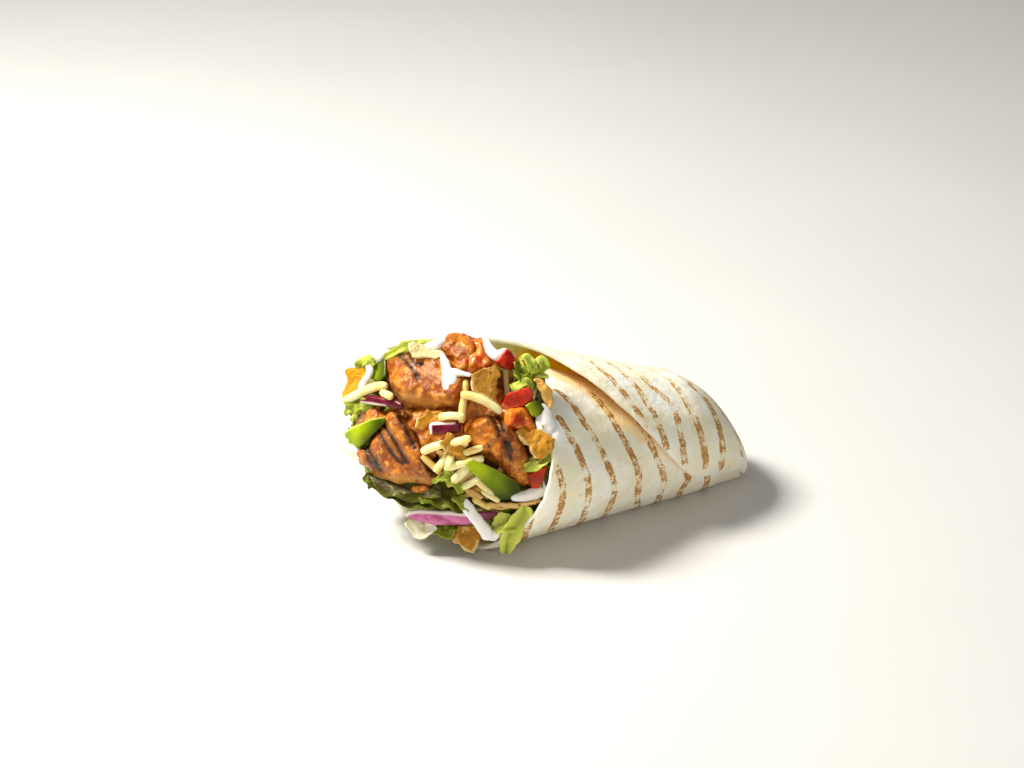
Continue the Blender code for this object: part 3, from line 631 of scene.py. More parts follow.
def chicken(name, outline, thick, top, tilt=(0, 0), bars=(), pits=(), seed=0, edge=4.0, lumps=None,
            meat=0.0, fold=None):
    bm = slab(outline, thick, edge, 0.5, lumps or ((1.8, 7.0), (0.75, 3.0), (0.2, 1.1)), seed, smooth=3)
    flat = flat_points(bm)
    far = np.full(len(flat), 9.0)
    for line in bars:
        a = np.array(line, float)
        far = np.minimum(far, from_segments(flat[:, :2], a[:-1], a[1:]))
    for r, u in pits:
        hole = np.hypot(flat[:, 0] - r, flat[:, 1] - u)
        far = np.minimum(far, hole + 0.4)
    far[flat[:, 2] < -thick * 0.6] = 9.0
    paint(bm, "from_bar", far)
    below = np.zeros(len(flat))
    if fold:
        below = np.array([max(through(fold, r) - u, 0.0) for r, u, _ in flat])
    paint(bm, "meat", np.clip(below / 3.0, 0, 1) * 0.8 + meat)
    for vert, gap, drop in zip(bm.verts, far, below):
        vert.co.z -= 0.45 * (1 - smooth_step(0.3, 1.1, gap)) + 0.5 * drop * drop / (drop + 1.0)
    place_on_heap(bm, top, tilt)
    return carried(piece_from(name, bm, CHICKEN), "chicken_" + name.split("_")[1])


chicken(
    "thigh_back",
    ((-49.5, 49), (-47.8, 50.2), (-45.6, 50.8), (-42.8, 51.8), (-39.9, 52.6), (-36.4, 52.5), (-32.9, 51.8),
     (-30.2, 50.1), (-25.7, 46.8), (-22.5, 42.2), (-22.8, 37.7), (-24.7, 33.7), (-27.5, 32.6), (-30, 32.9),
     (-31.7, 31.7), (-33.2, 31.6), (-34.1, 32.9), (-37.6, 32.8), (-42, 34.1), (-45.2, 36.4), (-48.2, 39),
     (-49.7, 41.8), (-49.8, 45.2)),
    14, 2.0, tilt=(0.02, 0.0), seed=1,
    fold=((-50, 43.0), (-45, 40.0), (-40, 38.8), (-34, 37.0), (-29, 36.4), (-22, 36.0)),
    bars=(((-46.2, 51.6), (-42.7, 48), (-40.1, 45.1), (-38.3, 42.2)),
          ((-43.2, 52.2), (-40.6, 48.6), (-39.5, 46.7), (-37.4, 46.7))),
    pits=((-44.4, 46.6),),
)
chicken(
    "thigh_left",
    ((-47.4, 31.7), (-44.5, 31.2), (-43.0, 30.7), (-41.0, 27.9), (-39.2, 25.2), (-36.8, 20.7), (-36.2, 17.3),
     (-35.0, 15), (-32.6, 12.2), (-32.4, 9.9), (-34, 8.3), (-37.9, 7.9), (-41.7, 8.1), (-44.9, 8.9),
     (-48.8, 9.8), (-53.2, 11.4), (-54.9, 13.6), (-57.8, 15.4), (-59.2, 18), (-58.7, 20), (-55.5, 21.6),
     (-54, 23.6), (-51.4, 27), (-49.2, 29.7)),
    12, 2.2, tilt=(0.0, 0.04), seed=2, edge=3.4,
    fold=((-60, 16.6), (-54, 14.4), (-48, 13.0), (-42, 13.2), (-36, 12.8), (-32, 10.6)),
    bars=(((-56.2, 20.7), (-54.5, 17), (-52.3, 14.5), (-50.5, 13.4)),
          ((-55.0, 21.2), (-53.2, 17.4), (-51.0, 14.6)),
          ((-51.6, 26.8), (-49.1, 22.2), (-46.8, 18.9), (-44.9, 16.5), (-43.0, 15.2)),
          ((-49.6, 27.9), (-47.1, 24.2), (-44.7, 20.6), (-42.4, 16.8), (-41.5, 15.5)),
          ((-44.6, 30.4), (-43.0, 27.6), (-41.1, 24.2), (-39.1, 20.1)),
          ((-42.8, 30.5), (-40.3, 26.9), (-38.1, 23.3), (-36.7, 20.4)),
          ((-36.8, 16.6), (-35.2, 14.4), (-33.6, 11.9))),
)
chicken(
    "thigh_middle",
    ((-22.4, 27.3), (-21.7, 28.5), (-19.7, 29.6), (-16.3, 30.8), (-13, 30.8), (-10.9, 30.2), (-8.9, 28.2),
     (-7.6, 26), (-6.0, 24.6), (-3.9, 22), (-2.4, 19.9), (-1.6, 17.3), (-2.3, 15.6), (-3.6, 14.9),
     (-2.4, 11.9), (-1.5, 9.8), (-2.0, 7.9), (-4.2, 7.8), (-6.8, 8.9), (-9.9, 11.2), (-12.6, 14.9),
     (-16, 16.9), (-19.3, 17.6), (-20.9, 20.6), (-22.3, 23.6), (-22.9, 26)),
    11, 2.2, tilt=(0.04, 0.05), seed=5, edge=3.2,
    fold=((-23, 24.6), (-19, 20.6), (-15, 18.4), (-11, 14.8), (-7, 10.8), (-2, 8.2)),
    bars=(((-16.2, 30.6), (-13.9, 28.1), (-13, 26), (-12.4, 24.0)),
          ((-13.8, 30.8), (-11.9, 28.3), (-11.1, 25.4)), ((-10.6, 22.3), (-9.9, 20.3), (-8.9, 17.4)),
          ((-9.6, 21.9), (-8.7, 19.4)), ((-6.2, 23.3), (-4.2, 20.6), (-3.0, 17.3))),
    pits=((-15.6, 18.6),),
)
chicken(
    "thigh_sauced",
    ((-31.6, 52.3), (-31.3, 55.1), (-29.6, 56.2), (-26.5, 56.3), (-22.7, 55.7), (-20.2, 54.2), (-19.9, 51.7),
     (-20.2, 48.5), (-21.1, 46.1), (-23.2, 44.2), (-25.2, 45.1), (-27, 46.8), (-29.4, 48.9)),
    9, 2.4, seed=11, edge=2.6, lumps=((1.7, 4.4), (0.5, 1.9)),
)
chicken(
    "thigh_edge",
    ((-62.1, 27.1), (-60.6, 28.8), (-58.3, 31.5), (-57.2, 34.2), (-53.9, 33.7), (-49.2, 32.5), (-44.5, 32.1),
     (-44.5, 30.4), (-46, 27.5), (-51, 27), (-56.1, 26), (-61.7, 24.7)),
    9, -0.6, seed=13, edge=2.6,
)
chicken(
    "thigh_inner",
    ((-27, 44), (-20, 45), (-11, 40), (-9, 33), (-12, 27), (-20, 25), (-27, 29), (-30, 36)),
    10, -3.4, seed=17,
)
chicken(
    "thigh_deep",
    ((-44, 33), (-38, 34), (-28, 33), (-23, 27), (-27, 20), (-34, 17), (-41, 20), (-45, 27)),
    10, -2.6, seed=19, meat=0.25,
)
chicken(
    "thigh_scrap",
    ((-42.8, 7.5), (-40.3, 8.6), (-36.5, 8.2), (-34.9, 6.8), (-37.2, 5.1), (-40.1, 4.9), (-42.3, 6)),
    5, 0.6, seed=23, edge=2.0,
)

# ---------------------------------------------------------------- salsa
# Two spoonfuls of cooked tomato salsa: soft lumps and seeds held together by a thick, shining orange-red
# juice.


def salsa_colour(tree):
    pulp = patches(tree, tone(178, 52, 8), tone(220, 122, 30), 190, 4, 0.38, 0.60)
    pulp = patches(tree, pulp, tone(238, 160, 74), 420, 3, 0.52, 0.68, 0.8)
    return lay_over(tree, specked(tree, 420.0, 0.26, 0.20), pulp, tone(232, 168, 84))


SALSA = finish(
    "tomato_salsa", salsa_colour, 0.22, lambda tree: grain(tree, 520, 3), 0.4, coat=0.25, shine=0.4,
    soft=0.3, glow=(1.0, 0.22, 0.08), soft_scale=1.4,
)

for name, outline, thick, top in (
    ("salsa_top", ((-25.8, 55.4), (-21.3, 55.8), (-17.5, 54.9), (-16.6, 52.7), (-15.0, 49.5), (-13.6, 47.0),
                   (-15, 45.6), (-18.4, 44.0), (-22.4, 43.9), (-24.6, 46.1), (-24.6, 48.9), (-25.4, 52.5)),
                   8, 2.4),
    ("salsa_middle", ((-12.8, 31.3), (-10.9, 32.9), (-6.9, 33.4), (-4.2, 32.7), (-1.8, 30.4), (-1.5, 26.7),
                      (-2.5, 25.3), (-5.9, 25.2), (-7.9, 25.4), (-9.6, 27.6), (-11.9, 30)), 7, 2.0),
):
    bm = slab(outline, thick, 2.6, 0.45, ((1.7, 4.0), (0.7, 1.9)), seed=len(outline))
    carried(piece_from(name.replace("salsa", "salsa_spoonful"), place_on_heap(bm, top), SALSA), name)

# ---------------------------------------------------------------- tomato
# Diced fresh tomato: firm bright red cubes with wet cut faces, one of them dark in the shade of the rim.


def tomato_colour(tree):
    flesh = patches(tree, tone(172, 18, 3), tone(222, 54, 18), 160, 3, 0.40, 0.62)
    return tinted(tree, "core", flesh, tone(236, 130, 78), 0.6, 0.35, 0.9)


TOMATO = finish(
    "tomato_flesh", tomato_colour, 0.2, lambda tree: grain(tree, 380, 3), 0.25, coat=0.15, shine=0.35,
    soft=0.35, glow=(1.0, 0.16, 0.05), soft_scale=1.6,
)

for name, outline, tilt, pale in (
    ("tomato_top", ((-14.2, 47.2), (-12.4, 49.6), (-10.3, 51.7), (-9.1, 51), (-7.7, 48.9), (-7.4, 46.8),
                    (-8.3, 45.2), (-10.3, 44.8), (-12.5, 45.7)), (-0.35, 0.1), ((-10.3, 51.7), (-9.1, 51))),
    ("tomato_middle", ((-12.0, 33.7), (-10.9, 36.2), (-9.6, 37.6), (-6.5, 38.6), (-3.3, 39.4), (-2.0, 37.5),
                       (-2.3, 35.6), (-3.5, 34.2), (-5.5, 33.2), (-7.6, 32.6), (-9.6, 32.0), (-11.5, 32.4)),
     (0.1, 0.3), ((-11.8, 33.6), (-9.6, 32.2), (-7.0, 33.0))),
    ("tomato_low", ((-4.2, 11.6), (-1.6, 14.0), (3.4, 15.4), (4.6, 12.3), (3.8, 9.7), (1.7, 6.9),
                    (-2.4, 7.6)),
     (0.0, 0.2), ((3.4, 14.6), (4.4, 11.0))),
):
    bm = slab(outline, 6.5, 0.45, 0.4, ((0.3, 3.0),), seed=len(outline), smooth=1)
    paint(bm, "core", near_line(bm, pale, 1.6))
    place_on_heap(bm, 0.2 if name == "tomato_low" else 2.2, tilt, level=True)
    carried(piece_from(name.replace("tomato", "tomato_dice"), bm, TOMATO), name)

# ---------------------------------------------------------------- green pepper
# Broad strips of raw green pepper: a waxy green skin over crisp wall, with a pale moist line along each cut
# edge that is partly the cut flesh and partly a painted highlight. Painted light brightens part of each strip
# and painted shade darkens another part.


def pepper_colour(tree):
    skin = patches(tree, tone(72, 102, 3), tone(116, 142, 6), 110, 3, 0.38, 0.62)
    # The light value is painted light on the lit part of a strip, and the shade value painted shade on its
    # shadowed part.
    skin = tinted(tree, "light", skin, tone(178, 196, 16))
    skin = tinted(tree, "shade", skin, tone(38, 50, 2), 0.9)
    # The pale cut line is partly cut flesh and partly a painted highlight along the edge.
    return tinted(tree, "cut", skin, tone(204, 212, 90), 0.6, 0.25, 0.75)


PEPPER = finish(
    "green_pepper_strip", pepper_colour, 0.25, lambda tree: grain(tree, 600, 3), 0.10, shine=0.25,
    soft=0.3, glow=(0.5, 1.0, 0.12), soft_scale=1.4,
)

for name, outline, cut, light, shade, top, tilt in (
    ("pepper_middle", ((-23.4, 14.9), (-22.6, 16.3), (-20.6, 17.1), (-18.0, 16.0), (-14.4, 14.2), (-11, 12.4),
                       (-9.3, 11.3), (-6.3, 9.8), (-5.4, 7.5), (-7, 5.2), (-10.4, 3.2), (-13.1, 3.9),
                       (-15.5, 6.9), (-18.5, 10.0), (-21.2, 12.3)),
     ((-23.0, 16.0), (-20.6, 17.3), (-18.0, 16.2), (-14.4, 14.4), (-9.3, 11.5), (-6.3, 10.0)),
     ((-23.4, 14.6), (-20.8, 14.8), (-18.6, 13.6)), ((-7.2, 9.6), (-7.5, 4.4), (-12.5, 3.6)), 1.6,
     (-0.12, 0.10)),
    ("pepper_left", ((-63.1, 25.4), (-59.5, 27.2), (-53.9, 29.5), (-49.2, 30.2), (-48.4, 28.4), (-51, 26.1),
                     (-54, 23.2), (-56.2, 21.2), (-58.5, 20.1), (-61.2, 22.4), (-62.5, 24)),
     ((-63.1, 25.6), (-59.5, 27.4), (-53.9, 29.7), (-49.2, 30.4)),
     ((-57.5, 25.0), (-55.0, 25.5)), ((-50.5, 27.6), (-54.4, 22.8)), 1.6, (0.10, -0.05)),
    ("pepper_right", ((-4.9, 33.4), (-3.2, 34.8), (-1.5, 35.2), (0.2, 34.3), (1.8, 32.5), (0.5, 30.6),
                      (-1.5, 29.7), (-2.8, 30.2), (-3.7, 32.1)),
     ((-4.9, 33.6), (-3.2, 35.0), (-1.5, 35.4)), ((-2.2, 32.6), (-1.0, 31.4)), ((1.4, 32.4), (0.2, 34.0)),
     3.0, (0, 0)),
    ("pepper_back", ((-55.6, 46.2), (-53.2, 48.7), (-49.9, 50.1), (-49.0, 47.9), (-48.9, 43.2), (-51.2, 41.2),
                     (-54.5, 42.6), (-56, 44.7)),
     ((-55.6, 46.4), (-53.2, 48.9)), ((-52.6, 45.8), (-52.0, 44.8)), ((-49.6, 47.5), (-49.6, 43.0)), -0.6,
     (0, 0)),
):
    bm = slab(outline, 3.4, 0.6, 0.40, ((0.5, 6.0),), seed=len(outline), smooth=1)
    paint(bm, "cut", near_line(bm, cut, 1.3))
    # painted light and painted shade, each drawn along its own line on the strip
    paint(bm, "light", near_line(bm, light, 6.5))
    paint(bm, "shade", near_line(bm, shade, 7.0))
    strip = piece_from(name.replace("pepper", "pepper_strip"), place_on_heap(bm, top, tilt), PEPPER)
    carried(strip, name)

# ---------------------------------------------------------------- red onion
# Slices of raw red onion: plum skin that pales to magenta, and white flesh showing along the cut side, with
# painted shade darkening one end of each slice.


def onion_colour(tree):
    veins = grain(tree, 420, 3, stretch=(0.25, 1.0, 1.0))
    skin = lay_over(tree, ease(tree, veins, 0.36, 0.64), tone(84, 8, 26), tone(124, 22, 58))
    bloom = lay_over(tree, ease(tree, veins, 0.36, 0.64), tone(172, 70, 126), tone(206, 118, 168))
    skin = lay_over(tree, attribute(tree, "pale"), skin, bloom)
    # Painted shade darkens the end of a slice that lies in shadow.
    skin = tinted(tree, "shade", skin, tone(84, 22, 34), 0.9)
    return tinted(tree, "flesh", skin, tone(236, 226, 216), 1.0, 0.25, 0.70)


ONION = finish(
    "red_onion_slice", onion_colour, 0.25, lambda tree: grain(tree, 500, 3, stretch=(0.3, 1, 1)), 0.12,
    coat=0.08, shine=0.3,
    soft=0.35, glow=(1.0, 0.4, 0.6), soft_scale=1.4,
)

for name, outline, flesh, width, shade, top in (
    ("onion_front", ((-43.1, -0.9), (-41.7, 0.6), (-38.1, 1.1), (-31.9, 0.8), (-24.9, 0.3), (-20.5, -0.1),
                     (-13.6, 0.6), (-12.5, -0.9), (-18, -3.1), (-21, -3.7), (-26.7, -4.0), (-33.8, -3.8),
                     (-40.1, -2.6), (-42.5, -1.7)),
     ((-42.8, -0.2), (-41.7, 0.6), (-38.1, 1.1), (-31.9, 0.8), (-24.9, 0.3), (-20.5, -0.1)), 2.6,
     ((-15.5, -1.0), (-12.6, -1.0)), 1.8),
    ("onion_middle", ((-34.6, 27.4), (-33.8, 28.1), (-29.4, 28.3), (-25.3, 28.3), (-24.3, 27.4),
                      (-24.6, 25.1), (-27.5, 24.5), (-31.3, 24.2), (-34.2, 24.1)),
     ((-34.4, 24.2), (-34.6, 27.4), (-33.8, 28.1), (-27.0, 28.3)), 1.5, ((-25.2, 27.0), (-25.0, 25.0)), 2.4),
    ("onion_left", ((-57.8, 35.6), (-56.2, 37.2), (-54, 37.4), (-49.6, 36.6), (-45.3, 35.7), (-42.9, 34.4),
                    (-42.9, 32.2), (-46, 32.4), (-49.2, 33.3), (-53.9, 34.2), (-57.4, 34.6)),
     ((-57.4, 34.6), (-53.9, 34.2), (-49.2, 33.3)), 1.2, ((-46.0, 34.2), (-43.0, 33.0)), 1.8),
):
    bm = slab(outline, 3.2, 1.3, 0.4, ((0.3, 5.0),), seed=len(outline))
    paint(bm, "flesh", near_line(bm, flesh, width))
    paint(bm, "pale", np.full(len(bm.verts), 1.0 if name == "onion_front" else 0.0))
    paint(bm, "shade", near_line(bm, shade, 5.0))
    slice_ = piece_from(name.replace("onion", "onion_slice"), place_on_heap(bm, top), ONION)
    carried(slice_, name)

# ---------------------------------------------------------------- corn chips
# Broken corn tortilla chips: blistered, dusted with spice specks and pale along the snapped edges. Each
# has been fried to its own shade, from a pale cream to ochre.


def chip_colour(tree):
    shade = attribute(tree, "shade")
    toasted = lay_over(tree, shade, tone(246, 226, 168), tone(206, 150, 52))
    toasted = lay_over(tree, ease(tree, shade, 0.7, 1.4), toasted, tone(150, 98, 30))
    toasted = patches(tree, toasted, tone(190, 128, 40), 260, 4, 0.45, 0.68, 0.6)
    toasted = patches(tree, toasted, tone(244, 220, 150), 520, 4, 0.55, 0.70, 0.5)
    toasted = tinted(tree, "snapped", toasted, tone(250, 228, 160), 0.65, 0.1, 0.8)
    toasted = lay_over(tree, specked(tree, 360.0, 0.22, 0.22), toasted, tone(112, 54, 12))
    return tinted(tree, "gold", toasted, tone(224, 154, 8), 0.85)


def chip_relief(tree):
    return sum_of(tree, grain(tree, 420, 3), grain(tree, 1300, 4), "ADD")


CHIP = finish("corn_chip_crust", chip_colour, 0.6, chip_relief, 0.6, soft=0.2, glow=(1.0, 0.6, 0.2),
              soft_scale=1.0)

for name, shade, gold, top, thick, tilt, snapped, outline in (
    ("chip_left", 0.85, 1.1, 0.4, 1.8, (0.25, 0.0), ((-63.5, 36.6), (-63.7, 39.4)),
     ((-63.2, 45.7), (-61.3, 46.3), (-56.1, 47.4), (-54.7, 45.4), (-55.6, 43.3), (-56.4, 41.2), (-57.2, 39.1),
      (-58.9, 36.8), (-60.5, 35.4), (-63.5, 35.9), (-63.9, 38.6), (-63.2, 40.2), (-62.1, 41.7), (-62.5, 44))),
    ("chip_top", 0.05, 0.0, 3.2, 1.6, (-0.05, -0.25), ((-41.2, 49.4), (-31.0, 48.8)),
     ((-42.0, 53.1), (-40.8, 54.0), (-39.0, 53.4), (-36.1, 52.4), (-34.6, 51.2), (-31.2, 51.2), (-30.1, 49.5),
      (-32.9, 48.5), (-36.7, 48.7), (-40.2, 48.8), (-41.2, 50.8))),
    ("chip_inner", 1.05, 0.0, 2.6, 1.7, (0.0, 0.15),
     ((-21.4, 40.6), (-21.4, 38.0), (-17.7, 36.2), (-14.6, 34.4)),
     ((-21.0, 43.3), (-17.7, 44.9), (-14.4, 46.1), (-12.7, 44.9), (-12.0, 42.8), (-13.4, 41.5),
      (-13.2, 39.5), (-13.5, 36.8), (-14.6, 34.4), (-17.7, 36.2), (-21.4, 37.9), (-21.3, 40.9))),
    ("chip_small", 1.25, 0.45, 1.8, 1.6, (0.1, 0.0), ((-39.0, 26.6), (-38.5, 29.3)),
     ((-39.1, 26.5), (-38.4, 29.4), (-36.3, 30.4), (-35.5, 32.3), (-33.4, 31.3), (-31.4, 31.9), (-30.0, 31.4),
      (-29.6, 28.4), (-32.7, 27.7), (-34.6, 27.6), (-36.8, 25.7))),
    ("chip_middle", 1.0, 0.35, 2.8, 1.6, (-0.1, 0.1), ((-31.7, 21.6), (-29.3, 19.1)),
     ((-31.8, 21.7), (-29.9, 22.9), (-28.6, 24.9), (-27.5, 24.7), (-26.3, 22.8), (-24, 20.6), (-22.4, 16.9),
      (-23.6, 16.4), (-25.9, 17.4), (-29.3, 19.1))),
    ("chip_right", 1.1, 0.35, 3.0, 2.0, (0.1, 0.1), ((-7.9, 25.3), (-5.5, 23.0), (-3.2, 20.3), (-1.5, 17.1)),
     ((-8.1, 25.3), (-5.5, 26.7), (-4.4, 26.4), (-3.4, 25.2), (-2.2, 26.2), (-0.1, 26.2), (1.4, 25.2),
      (2.8, 24.5), (4.6, 23.2), (4.7, 20.7), (2.8, 18.4), (0.6, 16.8), (-1.6, 17.0), (-3.2, 20.2),
      (-5.6, 22.9))),
    ("chip_upper", 0.5, 0.6, 2.6, 1.6, (-0.2, 0.0), ((-1.8, 42.0), (3.4, 32.4)),
     ((-2.0, 42.2), (0.6, 41.9), (2.6, 40), (3.9, 38.3), (4.1, 33.5), (3.3, 32.1), (1.0, 35.4),
      (-0.9, 39.5))),
    ("chip_front", 1.1, 0.2, 0.6, 1.8, (-0.05, 0.2), ((-27.2, -9.8), (-21.0, -13.2), (-19.2, -9.6)),
     ((-27.5, -7.5), (-25.8, -4.0), (-18, -3.8), (-17.2, -6.4), (-19.2, -9.5), (-20.2, -12.6), (-21.2, -13.2),
      (-23.5, -12.2), (-25.4, -10.4), (-27.2, -9.8))),
    ("chip_edge", 0.7, 0.4, 2.4, 6.0, (0.0, 0.0), ((-17.4, 2.4), (-5.7, 2.4), (1.4, 3.2)),
     ((-17.5, 3.1), (-12.7, 3.6), (-5.7, 3.2), (0.3, 4.4), (1.5, 3.5), (-5.8, 1.5), (-12.7, 1.3),
      (-16.8, 1.8))),
    ("chip_splinter", 0.7, 0.4, 1.4, 4.0, (0.0, 0.0), ((-24.0, 7.4), (-17.8, 4.9)),
     ((-24.2, 7.4), (-21.2, 7.9), (-17.6, 5.0), (-18.7, 3.8), (-22.1, 5.4))),
):
    rough = 0.8 if name == "chip_right" else 0.3
    bm = slab(outline, thick, 0.35, 0.34, ((rough, 2.2), (0.14, 0.8)), seed=len(name), smooth=1, ragged=0.28)
    flat = flat_points(bm)
    paint(bm, "snapped", np.maximum(near_line(bm, snapped, 1.2), np.clip(-flat[:, 2] / 0.8, 0, 1) * 0.6))
    paint(bm, "shade", np.full(len(flat), shade))
    paint(bm, "gold", np.full(len(flat), gold))
    place_on_heap(bm, top, tilt, wave=1.3, level=True)
    carried(piece_from(name.replace("chip", "corn_chip"), bm, CHIP, sharp=50), name)

# ---------------------------------------------------------------- cheese
# Coarsely grated mild cheese: straight or slightly bowed rods with blunt ends, pale yellow and a little waxy.
# Painted shade turns some rods golden brown where they lie in shadow.


def rod(bm, path, radius, segments=12, rings=10, flatness=0.88):
    """A rod along a path of (right, up, top) places on the heap, added to the bmesh in metres."""
    before = len(bm.verts)
    made = bmesh.ops.create_cone(bm, cap_ends=True, segments=segments, radius1=1, radius2=1, depth=2)
    edges = {e for v in made["verts"] for e in v.link_edges}
    long_edges = [e for e in edges if abs(e.verts[0].co.z - e.verts[1].co.z) > 1]
    bmesh.ops.subdivide_edges(bm, edges=long_edges, cuts=rings, use_grid_fill=True)
    verts = list(bm.verts)[before:]
    spine = [spot(*place) / MM for place in path]
    last = len(spine) - 1
    for vert in verts:
        share = (vert.co.z + 1) / 2
        along = share * last
        k = min(int(along), last - 1)
        middle = spine[k].lerp(spine[k + 1], along - k)
        heading = (spine[min(k + 1, last)] - spine[k]).normalized()
        across = heading.cross(OUT).normalized()
        upward = across.cross(heading)
        blunt = 1 - 0.35 * abs(vert.co.z) ** 14
        swell = radius * blunt * (1 + 0.07 * noise.noise(middle / 3.5))
        offset = across * vert.co.x * swell + upward * vert.co.y * swell * flatness
        vert.co = (middle + offset) * MM
    return verts


def cheese_colour(tree):
    curd = patches(tree, tone(248, 222, 136), tone(254, 242, 182), 150, 3, 0.40, 0.62)
    # The shade value darkens a rod to golden brown: painted shade on the rods in shadow.
    return tinted(tree, "shade", curd, tone(196, 144, 54), 0.9)


CHEESE = finish(
    "grated_cheese", cheese_colour, 0.42, lambda tree: grain(tree, 700, 3), 0.12,
    soft=0.6, glow=(1.0, 0.75, 0.35), soft_scale=1.6,
)

for name, radius, shade, path in (
    ("cheese_left", 1.45, 0.0, ((-63.2, 35.4, 1.6), (-59.5, 37.1, 1.8), (-55.0, 39.0, 1.9),
                                (-51.5, 40.0, 1.7), (-48.6, 40.0, 1.2))),
    ("cheese_bent", 1.35, 0.12, ((-24.6, 36.8, 2.6), (-21.4, 36.4, 2.2), (-17.6, 35.0, 1.2),
                                 (-14.4, 33.2, 0.4), (-12.0, 31.4, -0.4))),
    ("cheese_upright", 1.2, 0.45, ((-23.2, 41.4, -0.2), (-23.6, 37.6, 0.2), (-24.1, 32.6, 1.0),
                                   (-24.4, 28.0, 1.4))),
    ("cheese_short", 1.2, 0.0, ((-31.4, 29.7, 2.0), (-28.0, 30.2, 2.4), (-23.6, 29.9, 2.2))),
    ("cheese_tilted", 1.35, 0.1, ((-36.8, 19.0, 1.6), (-33.5, 20.3, 2.2), (-29.6, 21.6, 1.8))),
    ("cheese_lower", 1.25, 0.0, ((-29.6, 13.6, 1.6), (-26.0, 14.8, 1.8), (-21.0, 16.2, 1.6),
                                 (-17.4, 17.0, 1.2))),
):
    bm = bmesh.new()
    rod(bm, path, radius)
    bmesh.ops.recalc_face_normals(bm, faces=bm.faces)
    paint(bm, "shade", np.full(len(bm.verts), shade))
    carried(piece_from(name.replace("cheese", "cheese_strand"), bm, CHEESE, sharp=50), name)

# ---------------------------------------------------------------- loose cheese
# Shorter shreds lie in the hollows between the chunks, some of them end on to the eater, and more are
# caught in the salad round the sides.

# Each row is (radius, shade, places of (right, up, top)); shade is painted shade, heavier on the strands that
# lie deeper.
LOOSE_STRANDS = (
    (1.16, 0.00, ((-32.7, 12.6, 3.5), (-28.9, 18.0, -0.1))),
    (1.16, 0.00, ((-28.4, 14.0, 6.4), (-27.4, 18.2, 0.0))),
    (1.12, 0.55, ((-36.9, 17.7, 1.9), (-28.7, 10.5, 0.9))),
    (1.46, 0.10, ((-27.6, 9.2, 3.3), (-22.2, 14.4, 0.7))),
    (1.12, 0.10, ((-24.2, 7.7, 2.2), (-17.8, 11.3, 1.0))),
    (1.03, 0.15, ((-19.8, 10.2, 2.5), (-14.6, 5.8, 0.9))),
    (1.07, 0.25, ((-25.6, 17.8, 1.1), (-17.6, 20.4, 1.7))),
    (0.99, 0.30, ((-18.0, 7.0, 1.8), (-12.6, 3.8, 0.6))),
    (1.03, 0.35, ((-20.8, 4.3, 0.8), (-15.4, 1.5, -0.2))),
    (1.25, 0.05, ((-27.8, 21.5, 2.0), (-21.4, 23.1, 4.0))),
    (1.07, 0.45, ((-29.8, 18.1, -1.3), (-22.4, 21.7, 0.3))),
    (1.03, 0.45, ((-26.2, 17.8, -1.4), (-17.6, 15.2, -1.0))),
    (1.12, 0.50, ((-28.9, 8.5, -0.8), (-21.1, 12.7, -1.2))),
    (1.07, 0.55, ((-31.5, 15.0, -2.2), (-23.7, 9.0, -1.6))),
    (1.03, 0.50, ((-25.5, 14.6, -2.4), (-17.5, 12.0, -1.8))),
    (1.03, 0.55, ((-23.4, 5.3, -1.2), (-14.8, 9.5, -1.6))),
    (1.07, 0.60, ((-32.3, 19.3, -3.0), (-24.5, 14.9, -3.4))),
    (1.03, 0.60, ((-21.7, 16.3, -3.2), (-20.5, 7.9, -3.0))),
    (1.07, 0.65, ((-29.9, 11.9, -4.4), (-22.3, 15.9, -4.8))),
    (1.07, 0.65, ((-24.7, 5.9, -3.9), (-22.1, 13.9, -5.1))),
    (1.07, 0.65, ((-20.1, 12.6, -3.5), (-16.7, 4.8, -4.3))),
    (1.27, 0.15, ((-50.4, 38.0, 3.0), (-46.6, 36.2, 2.2))),
)

WALL_CLEARANCE = 3.6 * MM
bed_shape = bmesh.new()
bed_shape.from_mesh(bed.data)
roll_tree = BVHTree.FromObject(tortilla, bpy.context.evaluated_depsgraph_get())
dice = random.Random(5)
bm = bmesh.new()
shades = []
for radius, shade, path in LOOSE_STRANDS:
    shades += [shade] * len(rod(bm, path, radius, rings=5))


def open_places(count, seed, keep=lambda point, normal: True):
    """Places on the bed's skin that the tortilla does not cover, with the skin's normal there."""
    pick = random.Random(seed)
    bed_shape.faces.ensure_lookup_table()
    places = []
    for _ in range(40000):
        face = bed_shape.faces[pick.randrange(len(bed_shape.faces))]
        point, normal = face.calc_center_median(), face.normal.copy()
        clear = roll_tree.ray_cast(point, normal, 0.030)[0] is None
        clear = clear and roll_tree.find_nearest(point)[3] > WALL_CLEARANCE
        clear = clear and roll_tree.ray_cast(point, Vector((-0.75, 0.1, 0.35)), 0.045)[0] is None
        if clear and normal.dot(Vector((-0.75, -0.1, 0.6))) > -0.1 and keep(point, normal):
            places.append((point, normal))
            if len(places) == count:
                break
    return places


def scatter_frames(places, seed, lift):
    """A turned frame on each place: across the skin in a random direction, with Z along its normal."""
    pick = random.Random(seed)
    for point, normal in places:
        spin = Vector((pick.uniform(-1, 1), pick.uniform(-1, 1), pick.uniform(-1, 1)))
        along = (spin - normal * spin.dot(normal)).normalized()
        rise = normal * pick.uniform(-0.25, 0.45)
        along = (along + rise).normalized()
        side = normal.cross(along).normalized()
        frame_here = Matrix((along, side, along.cross(side))).transposed().to_4x4()
        yield Matrix.Translation(point + normal * lift * MM) @ frame_here


